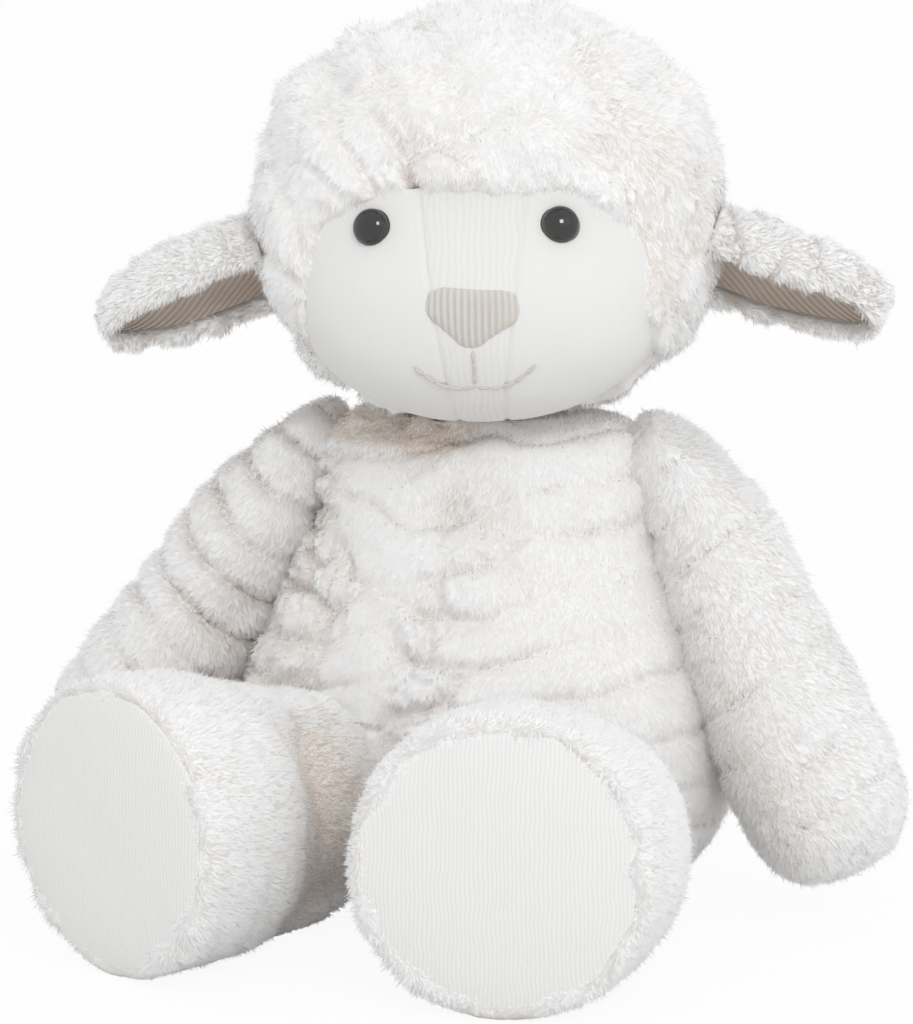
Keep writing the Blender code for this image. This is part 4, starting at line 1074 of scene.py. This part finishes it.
# %% Wool hood
WOOL_WAVES = (((0.82, 0.10, 0.56), 0.6), ((-0.30, 0.85, 0.43), 2.1), ((-0.35, -0.50, 0.79), 4.0))
WAVE_LENGTH = 30 * MM
HOOD_FLOOR = -37 * MM
outside = ways * (reach + WOOL)[:, None]
base = HEAD_CORE + outside
crumple = 0.35 + 0.65 * smoothstep(5 * MM, -25 * MM, base[:, 0])
height = crumpled_heights(base + base[:, [2, 0, 0]] * (0.35, 0, 0), 0.024, 101, crumple)
swell = sum(np.sin(math.tau * outside @ np.array(way) / WAVE_LENGTH + phase) for way, phase in WOOL_WAVES)
swell = np.clip(swell / 2, -1, 1) * (1 - np.abs(ways[:, 0]) ** 8)
rim = smoothstep(0, 9 * MM, from_edge)
rolled = smoothstep(0, 5 * MM, from_edge)
thickness = WOOL - 8.6 * MM + 8.5 * MM * height + 3.0 * MM * swell
points = HEAD_CORE + ways * (reach + (-3 * MM * (1 - rolled) + rolled * thickness))[:, None]
points[:, 2] = np.maximum(points[:, 2], HOOD_FLOOR)
quads = wrapped_quads(HOOD_ROWS, HOOD_COLUMNS)
if faces_in(points, quads):
    quads = quads[:, ::-1]
crown = smoothstep(30 * MM, 75 * MM, points[:, 2])[:, None]
comb = unit(points * (1, 1, 0)) * 0.35 + (0, 0, -1) + crown * (0, 1.6, 0) + wander(points, 0.02, 141) * 0.40
inward = -unit(points * (1, 0, 1) + (0, 0, 4 * MM))
comb = comb + inward * (1.2 * (1 - rim))[:, None]
hood = moved(points, head_place)
# The puff height also paints shade into the wool's colour, darker and warmer in its dips; its pile gets less
# of that painted shade on the smoother side.
cover_piece(
    "wool_hood", hood, quads, "head", ["head_cover", "head_stuffing"], height,
)
grow_pile(
    "wool_pile", hood, quads, turned(point_normals(points, quads), head_place), height + 0.16 * (1 - crumple),
    pile_length(3.6 * MM, height) * (0.6 + 0.4 * rim), turned(comb, head_place), 2.1, "head", 151,
    lie=62, stray=0.06, lock=4 * MM, keep=points[:, 2] > HOOD_FLOOR + 0.5 * MM,
)

# %% [markdown]
# ## Face
# Three panels of fine ribbed jersey are sewn side by side: a narrow gusset down the middle that carries
# the nose, and two cheeks. One sheet with drawn seams would be quicker, but the panels are separate
# pieces. Each seam pulls the cloth in, so each panel's edge dips into a shallow groove.

# %% Face panels
FACE_ROWS = 320
panel_x = face_columns(260)
face_curves = front_curves(panel_x, FACE_ROWS)
middle_height = face_curves[len(panel_x) // 2, :, 2]
seam_line = np.interp(middle_height, (-48 * MM, 40 * MM), (6 * MM, 17 * MM))[:, None]


def panel_piece(name, node, across, finish):
    """across gives x for each row of the face, from the panel's one edge to its other."""
    place = np.interp(across, panel_x, np.arange(len(panel_x)))
    low = np.minimum(place.astype(int), len(panel_x) - 2)
    part = (place - low)[:, :, None]
    rows = np.arange(FACE_ROWS)[:, None]
    points = (face_curves[low, rows] * (1 - part) + face_curves[low + 1, rows] * part).reshape(-1, 3)
    away = np.abs(np.abs(across) - seam_line).ravel()
    dip = 0.55 * MM * np.exp(-((away / (0.8 * MM)) ** 2)) + 0.30 * MM * np.exp(-((away / (3.5 * MM)) ** 2))
    lift = 1.8 * MM - dip + 0.25 * MM * drift(points, 0.012, 201)
    points = points + unit(points - HEAD_CORE) * lift[:, None]
    fallen = np.repeat(np.linspace(0, 1, FACE_ROWS) * 0.1, across.shape[1])
    cloth_piece(
        name, moved(points, head_place), wrapped_quads(*across.shape, closed=False)[:, ::-1], finish,
        "head", node, np.stack([across.ravel(), fallen, 0 * fallen], 1),
    )


share = np.linspace(0, 1, 90)[None]
panel_piece("gusset_panel", "face_gusset", (share * 2 - 1) * seam_line, gusset_rib)
share = (1 - (1 - np.linspace(0, 1, 140)) ** 1.6)[None]
wide = seam_line + (panel_x[-1] - seam_line) * share
panel_piece("cheek_panel_left", "cheek_left", wide, face_jersey)
panel_piece("cheek_panel_right", "cheek_right", -wide[:, ::-1], face_jersey)
print("gusset:", np.round(np.array((seam_line.min(), seam_line.max())) * 2000, 1), "mm wide")

# %% [markdown]
# ## Nose, mouth and eyes
# The nose is a rounded triangle of wide-waled cloth, sewn flat at its edge. The mouth is a line of thick
# thread. The eyes are safety eyes: glossy domes whose posts go through the cloth to a washer inside. The
# wales and the thread's two plies could be bumps in a shader, but they are large enough here to catch
# the light from the side, so they are shaped.

# %% Nose patch
NOSE_COLUMNS, NOSE_ROWS = 240, 60
NOSE_CORNER = 6.5 * MM
NOSE_WALE_PITCH = 2.15 * MM
NOSE_TILT = math.radians(5)


def corner_arc(centre_x, centre_z, start, stop, count=40):
    """An arc of the nose's outline, round a centre in mm, from one angle in degrees to another."""
    turn = np.radians(np.linspace(start, stop, count))
    return np.stack([
        centre_x * MM + NOSE_CORNER * np.cos(turn), centre_z * MM + NOSE_CORNER * np.sin(turn),
    ], 1)


nose_edge = evenly_round(np.concatenate([
    corner_arc(8.6, 3.4, -30, 95), corner_arc(-8.6, 3.4, 85, 210), corner_arc(0, -3.2, 215, 325),
]), NOSE_COLUMNS)
share = np.linspace(0.004, 1, NOSE_ROWS)
middle = np.array((0, 2.5)) * MM
flat = (middle + (nose_edge - middle)[None] * share[:, None, None]).reshape(-1, 2)
tilting = np.array(((math.cos(NOSE_TILT), -math.sin(NOSE_TILT)), (math.sin(NOSE_TILT), math.cos(NOSE_TILT))))
flat = (flat - middle) @ tilting + middle
edge_fall = np.repeat(1 - share**6, NOSE_COLUMNS)
points = face_point(flat[:, 0], flat[:, 1], 1.9 * MM)
wale = 0.5 + 0.5 * np.cos(flat[:, 0] / NOSE_WALE_PITCH * math.tau + drift(points, 0.006, 211) * 0.7)
lift = (1.6 * edge_fall - 0.5) * MM + 0.45 * MM * wale * np.sqrt(edge_fall)
points = points + unit(points - HEAD_CORE) * lift[:, None]
cloth_piece(
    "nose_cloth", moved(points, head_place), wrapped_quads(NOSE_ROWS, NOSE_COLUMNS)[:, ::-1], nose_wale,
    "head", "nose_patch", np.stack([flat[:, 0], flat[:, 1], 0 * flat[:, 0]], 1),
)
print("nose:", np.round((flat.max(0) - flat.min(0)) * 1000, 1), "mm")


# %% Mouth thread
THREAD_ROWS, THREAD_COLUMNS = 220, 20
THREAD_RADIUS = 0.7 * MM
STITCH = 4.5 * MM
TWIST_LENGTH = 2.4 * MM


def face_thread(name, node, x, z):
    """A two-ply thread laid on the face along these places, dipping in where each stitch ends."""
    fine = np.linspace(0, 1, THREAD_ROWS)
    x, z = (np.interp(fine, np.linspace(0, 1, len(places)), places) for places in (x, z))
    path = face_point(x, z, 1.8 * MM)
    run = run_along(path)
    stitches = max(1, round(run[-1] / STITCH))
    humps = np.abs(np.sin(math.pi * stitches * run / run[-1])) ** 0.5
    out = unit(path - HEAD_CORE)
    path = path + out * ((humps - 0.75) * 0.9 * MM)[:, None]
    ahead = unit(np.gradient(path, axis=0))
    across = unit(np.cross(ahead, out))
    out = np.cross(across, ahead)
    turn = np.linspace(0, math.tau, THREAD_COLUMNS, endpoint=False)
    twist = run[:, None] / TWIST_LENGTH * math.tau
    ply = 1 + 0.22 * np.abs(np.sin(turn[None] - twist / 2))
    ring = across[:, None] * np.cos(turn)[None, :, None] + out[:, None] * np.sin(turn)[None, :, None]
    points = (path[:, None] + ring * (THREAD_RADIUS * ply * 0.85)[:, :, None]).reshape(-1, 3)
    quads = wrapped_quads(THREAD_ROWS, THREAD_COLUMNS)[:, ::-1]
    cloth_piece(name, moved(points, head_place), quads, thread_finish, "head", node)
    print(f"{name}: {stitches} stitches")


t = np.linspace(0, 1, 80)
face_thread("lip_thread", "lip_stitch", 0 * t, (-10.3 - 10.7 * t) * MM)
for label, side in (("left", 1), ("right", -1)):
    smile_z = -22 - 0.9 * np.sin(math.pi * np.minimum(1.3 * t, 1)) + 6.6 * t**3
    face_thread(f"smile_thread_{label}", f"smile_stitch_{label}", side * (0.3 + 18.7 * t) * MM, smile_z * MM)

# %% Eyes
EYE_RADIUS, EYE_DOME = 6 * MM, 4.4 * MM
EYE_COLUMNS = 96
eye_tree = eye_gloss.node_tree
eye_colour = mixed(eye_tree, point_value(eye_tree, "height")["Fac"], EYE_BLACK, EYE_RIM_BROWN)
eye_tree.links.new(eye_colour, eye_tree.nodes["Principled BSDF"].inputs["Base Color"])
fall = np.radians(np.linspace(0.5, 90, 48))
radius = np.concatenate([EYE_RADIUS * np.sin(fall), EYE_RADIUS * np.array((1.03, 1.06, 1.05, 0.98))])
lift = np.concatenate([EYE_DOME * np.cos(fall), np.array((-0.15, -0.45, -0.8, -1.6)) * MM])
turn = np.linspace(0, math.tau, EYE_COLUMNS, endpoint=False)[:, None]
for label, side in (("left", 1), ("right", -1)):
    x = np.array((side * 30 - 2.5, side * 30 - 1.5, side * 30 - 2.5)) * MM
    spot, beside, above = face_point(x, np.array((28, 28, 29.0)) * MM, 2.1 * MM)
    facing = unit(np.cross(above - spot, beside - spot))
    facing = facing if facing @ (spot - HEAD_CORE) > 0 else -facing
    along = unit(np.cross(facing, (0, 0, 1.0)))
    ring = along * np.cos(turn) + np.cross(along, facing) * np.sin(turn)
    points = spot + ring[None] * radius[:, None, None] + facing * lift[:, None, None]
    eye = cloth_piece(
        f"eye_dome_{label}", moved(points.reshape(-1, 3), head_place),
        wrapped_quads(len(radius), EYE_COLUMNS), eye_gloss, "head", f"eye_{label}",
    )
    mark(eye, "height", np.repeat(smoothstep(0.80, 1.0, radius / EYE_RADIUS), EYE_COLUMNS))
print("eyes made")

# %% [markdown]
# ## Ears
# An ear is a leaf of plush folded into a cup, its open side down and forward. The hem is the plush
# itself, turned over a beige ribbed lining. Two sheets with a rim between them would leave gaps at the
# rim. So the cup's section is followed round its outside, over one hem, back along the inside and over
# the other hem, and the ear is one closed puffy skin.

# %% Ear forms
CUP_SHARES = (
    (-0.25, 0.90), (0, 0.98), (0.15, 1.0), (0.32, 1.0), (0.55, 0.92), (0.78, 0.72), (0.93, 0.50), (1, 0.30),
)
EAR_LENGTH, CUP = 48 * MM, 13.0 * MM
EAR_HALF_TURN, EAR_OPEN, EAR_DROOP = math.radians(104), math.radians(54), math.radians(19)


def ear_frame(side):
    """Where an ear starts, and the ways along it, to its back and across it."""
    way = unit(np.array((side * 1.0, 2 / 71, (8 - 17) / 71)))
    skin = HEAD_CORE + way * (head_reach(way[None])[0] + 7 * MM)
    root = np.array((side * (abs(skin[0]) + 5 * MM), skin[1], skin[2]))
    along = np.array((side * math.cos(EAR_DROOP), 0, -math.sin(EAR_DROOP)))
    back = np.array((0, math.cos(EAR_OPEN), math.sin(EAR_OPEN)))
    back = unit(back - along * (back @ along))
    return root, along, back, np.cross(along, back) * side


def cup_points(side, share, angle, offset, slide=0.0):
    """Points of the cup at these shares of its length and angles round it, offset outwards."""
    root, along, back, across = ear_frame(side)
    cup = smooth_curve(CUP_SHARES, share)[:, 0] * CUP + offset
    around = back * np.cos(angle)[:, None] + across * np.sin(angle)[:, None]
    return root + along * (share * EAR_LENGTH + slide)[:, None] + around * cup[:, None]


# %% The closed section of an ear, and its rows
OUTER, HEM, INNER = 84, 16, 60
EAR_COLUMNS = OUTER + HEM + INNER + HEM
CUP_ROWS, TIP_ROWS = 60, 10
HEM_BOW = 3.1 * MM
EAR_THICKNESS = 5.3 * MM
TIP_SLIDE = 3 * MM
round_hem = np.linspace(0, math.pi, HEM + 2)[1:-1]
section = np.concatenate([
    np.linspace(-1, 1, OUTER), np.full(HEM, 1.0), np.linspace(1, -1, INNER), np.full(HEM, -1.0),
]) * EAR_HALF_TURN
outwards = np.concatenate([
    np.ones(OUTER), 0.5 + 0.5 * np.cos(round_hem), np.zeros(INNER), 0.5 - 0.5 * np.cos(round_hem),
])
sideways = np.concatenate([np.zeros(OUTER), np.sin(round_hem), np.zeros(INNER), -np.sin(round_hem)])
ear_rows = CUP_ROWS + TIP_ROWS
ear_share = np.repeat(np.concatenate([np.linspace(-0.22, 1, CUP_ROWS), np.ones(TIP_ROWS)]), EAR_COLUMNS)
closing = np.repeat(np.concatenate([np.zeros(CUP_ROWS), np.linspace(0.1, 0.995, TIP_ROWS)]), EAR_COLUMNS)
offset = np.tile(outwards, ear_rows) * (EAR_THICKNESS * np.sqrt(1 - closing**2))
cup_width = CUP * np.maximum(smooth_curve(CUP_SHARES, ear_share)[:, 0], 0.3)
ear_angle = np.tile(section, ear_rows) + np.tile(sideways, ear_rows) * HEM_BOW / cup_width
shows = np.tile(np.where(outwards > 0.02, 1.0, 0.0), ear_rows)
print("points of an ear:", len(ear_share))

# %% Ears and their linings
LINING_ROWS, LINING_COLUMNS = 120, 110
WALE_SLANT = math.radians(38)
share, angle = np.meshgrid(
    np.linspace(-0.2, 0.95, LINING_ROWS), np.linspace(-1, 1, LINING_COLUMNS), indexing="ij",
)
share, angle = share.ravel(), angle.ravel() * (EAR_HALF_TURN - 0.02)
flat = np.stack([share * EAR_LENGTH, angle * CUP, 0 * share], 1)
lining_cloth = np.stack([
    flat[:, 1] * math.cos(WALE_SLANT) + flat[:, 0] * math.sin(WALE_SLANT),
    -flat[:, 1] * math.sin(WALE_SLANT) + flat[:, 0] * math.cos(WALE_SLANT), 0 * share,
], 1)
for label, side, seed in (("left", 1, 301), ("right", -1, 331)):
    points = cup_points(side, ear_share, ear_angle, offset, closing * TIP_SLIDE)
    tip = cup_points(side, np.ones(1), np.zeros(1), np.full(1, 1 * MM), TIP_SLIDE)
    points = points * (1 - closing[:, None] ** 3) + tip * closing[:, None] ** 3
    quads = wrapped_quads(ear_rows, EAR_COLUMNS)
    if faces_in(points[: CUP_ROWS * EAR_COLUMNS], quads[: (CUP_ROWS - 1) * EAR_COLUMNS]):
        quads = quads[:, ::-1]
    height = crumpled_heights(points, 0.015, seed, 0.6)
    points = puffed(points, quads, 5.5 * MM * shows, height - 0.72)
    normals = point_normals(points, quads)
    along = ear_frame(side)[1]
    comb = brushed(along * 0.8 + (0, 0.5, -0.6), points, 0.016, seed + 7, 0.3)
    placed = moved(points, head_place)
    # The puff height also paints shade into the ear's colour, darker and warmer in its dips.
    cover_piece(f"ear_plush_{label}", placed, quads, f"ear_{label}", [f"ear_cover_{label}"], height)
    grow_pile(
        f"ear_pile_{label}", placed, quads, turned(normals, head_place), height,
        pile_length(2.8 * MM, height), turned(comb, head_place), 2.6, f"ear_{label}", seed,
        stray=0.04, keep=shows > 0.5,
    )
    crumple = drift(flat, 0.011, seed + 4) * 0.7 * MM
    points = cup_points(side, share, angle, -0.9 * MM + crumple)
    cloth_piece(
        f"ear_lining_cloth_{label}", moved(points, head_place),
        wrapped_quads(LINING_ROWS, LINING_COLUMNS, closed=False), ear_wale,
        f"ear_{label}", f"ear_lining_{label}", lining_cloth,
    )
print("ears made")

# %% [markdown]
# ## Tail
# The picture doesn't show the tail. A sheep of this kind has a short soft one, low on the back. It could
# be left out, but the solid model has it, and it is made the way the arms are.

# %% Tail
TAIL_SHARES = ((0, 0.66), (0.20, 0.80), (0.50, 1.0), (0.75, 0.92), (0.92, 0.55), (1, 0.0))
TAIL_ROOT = (0, 64.3 * MM, 60 * MM)
TAIL_DROOP = math.radians(45)
TAIL_STEP = 1.0 * MM
laid = aimed(TAIL_ROOT, (0, math.cos(TAIL_DROOP), -math.sin(TAIL_DROOP)))
along, radius = limb_profile(TAIL_SHARES, 8 * MM, 38 * MM, 13 * MM, TAIL_STEP)
points, quads = turned_surface(along, radius, TAIL_STEP)
height = banded_heights(points[:, [0, 2, 1]], points[:, 1], 12 * MM, 401, 0.6, 0.3)
points = puffed(points, quads, 4 * MM * smoothstep(-8 * MM, -1 * MM, -points[:, 1]), height - 0.9)
normals = point_normals(points, quads)
comb = brushed((0, -1, 0), points, 0.02, 411, 0.4)
points, normals, comb = moved(points, laid), turned(normals, laid), turned(comb, laid)
# The puff height also paints shade into the tail's colour, darker and warmer in its dips.
cover_piece("tail_plush", points, quads, "tail", ["tail_cover", "tail_stuffing"], height)
grow_pile(
    "tail_pile", points, quads, normals, height, pile_length(4.6 * MM, height), comb, 2.0, "tail", 405,
)

# %% [markdown]
# ## Seams and filling
# The gathered seams and the filling keep their solid shapes, and only need finishes: thread where a
# limb is sewn on, loose fibre inside, a cloth bag for the pellets and hard washers behind the eyes. Real
# fibre could be modelled, but it is hidden inside the covers.

# %% Finishes for the solid pieces
SOLID_FINISHES = {
    "seam": thread_finish, "stitch": thread_finish,
    "stuffing": backing_finish("polyester_fibre", (0.80, 0.80, 0.80), (0.9, 0.9, 0.9)),
    "bag": backing_finish("pellet_bag_cloth", (0.62, 0.58, 0.52), (0.75, 0.71, 0.65)),
    "washer": shaded("washer_plastic", (0.72, 0.72, 0.70), roughness=0.4, sheen=0, specular=0.5),
}
dressed = 0
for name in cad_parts:
    thing = bpy.data.objects.get(name)
    finish = next((finish for word, finish in SOLID_FINISHES.items() if word in name), None)
    if finish and thing and thing.type == "MESH":
        thing.data.materials.clear()
        thing.data.materials.append(finish)
        dressed += 1
print("solid pieces with a finish:", dressed)

# %% Sizes and finish
low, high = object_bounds()
for axis, a, b, c, d in zip("xyz", cad_low, cad_high, low, high):
    print(f"{axis}: solid {1000 * a:.1f}..{1000 * b:.1f}, dressed {1000 * c:.1f}..{1000 * d:.1f} mm")
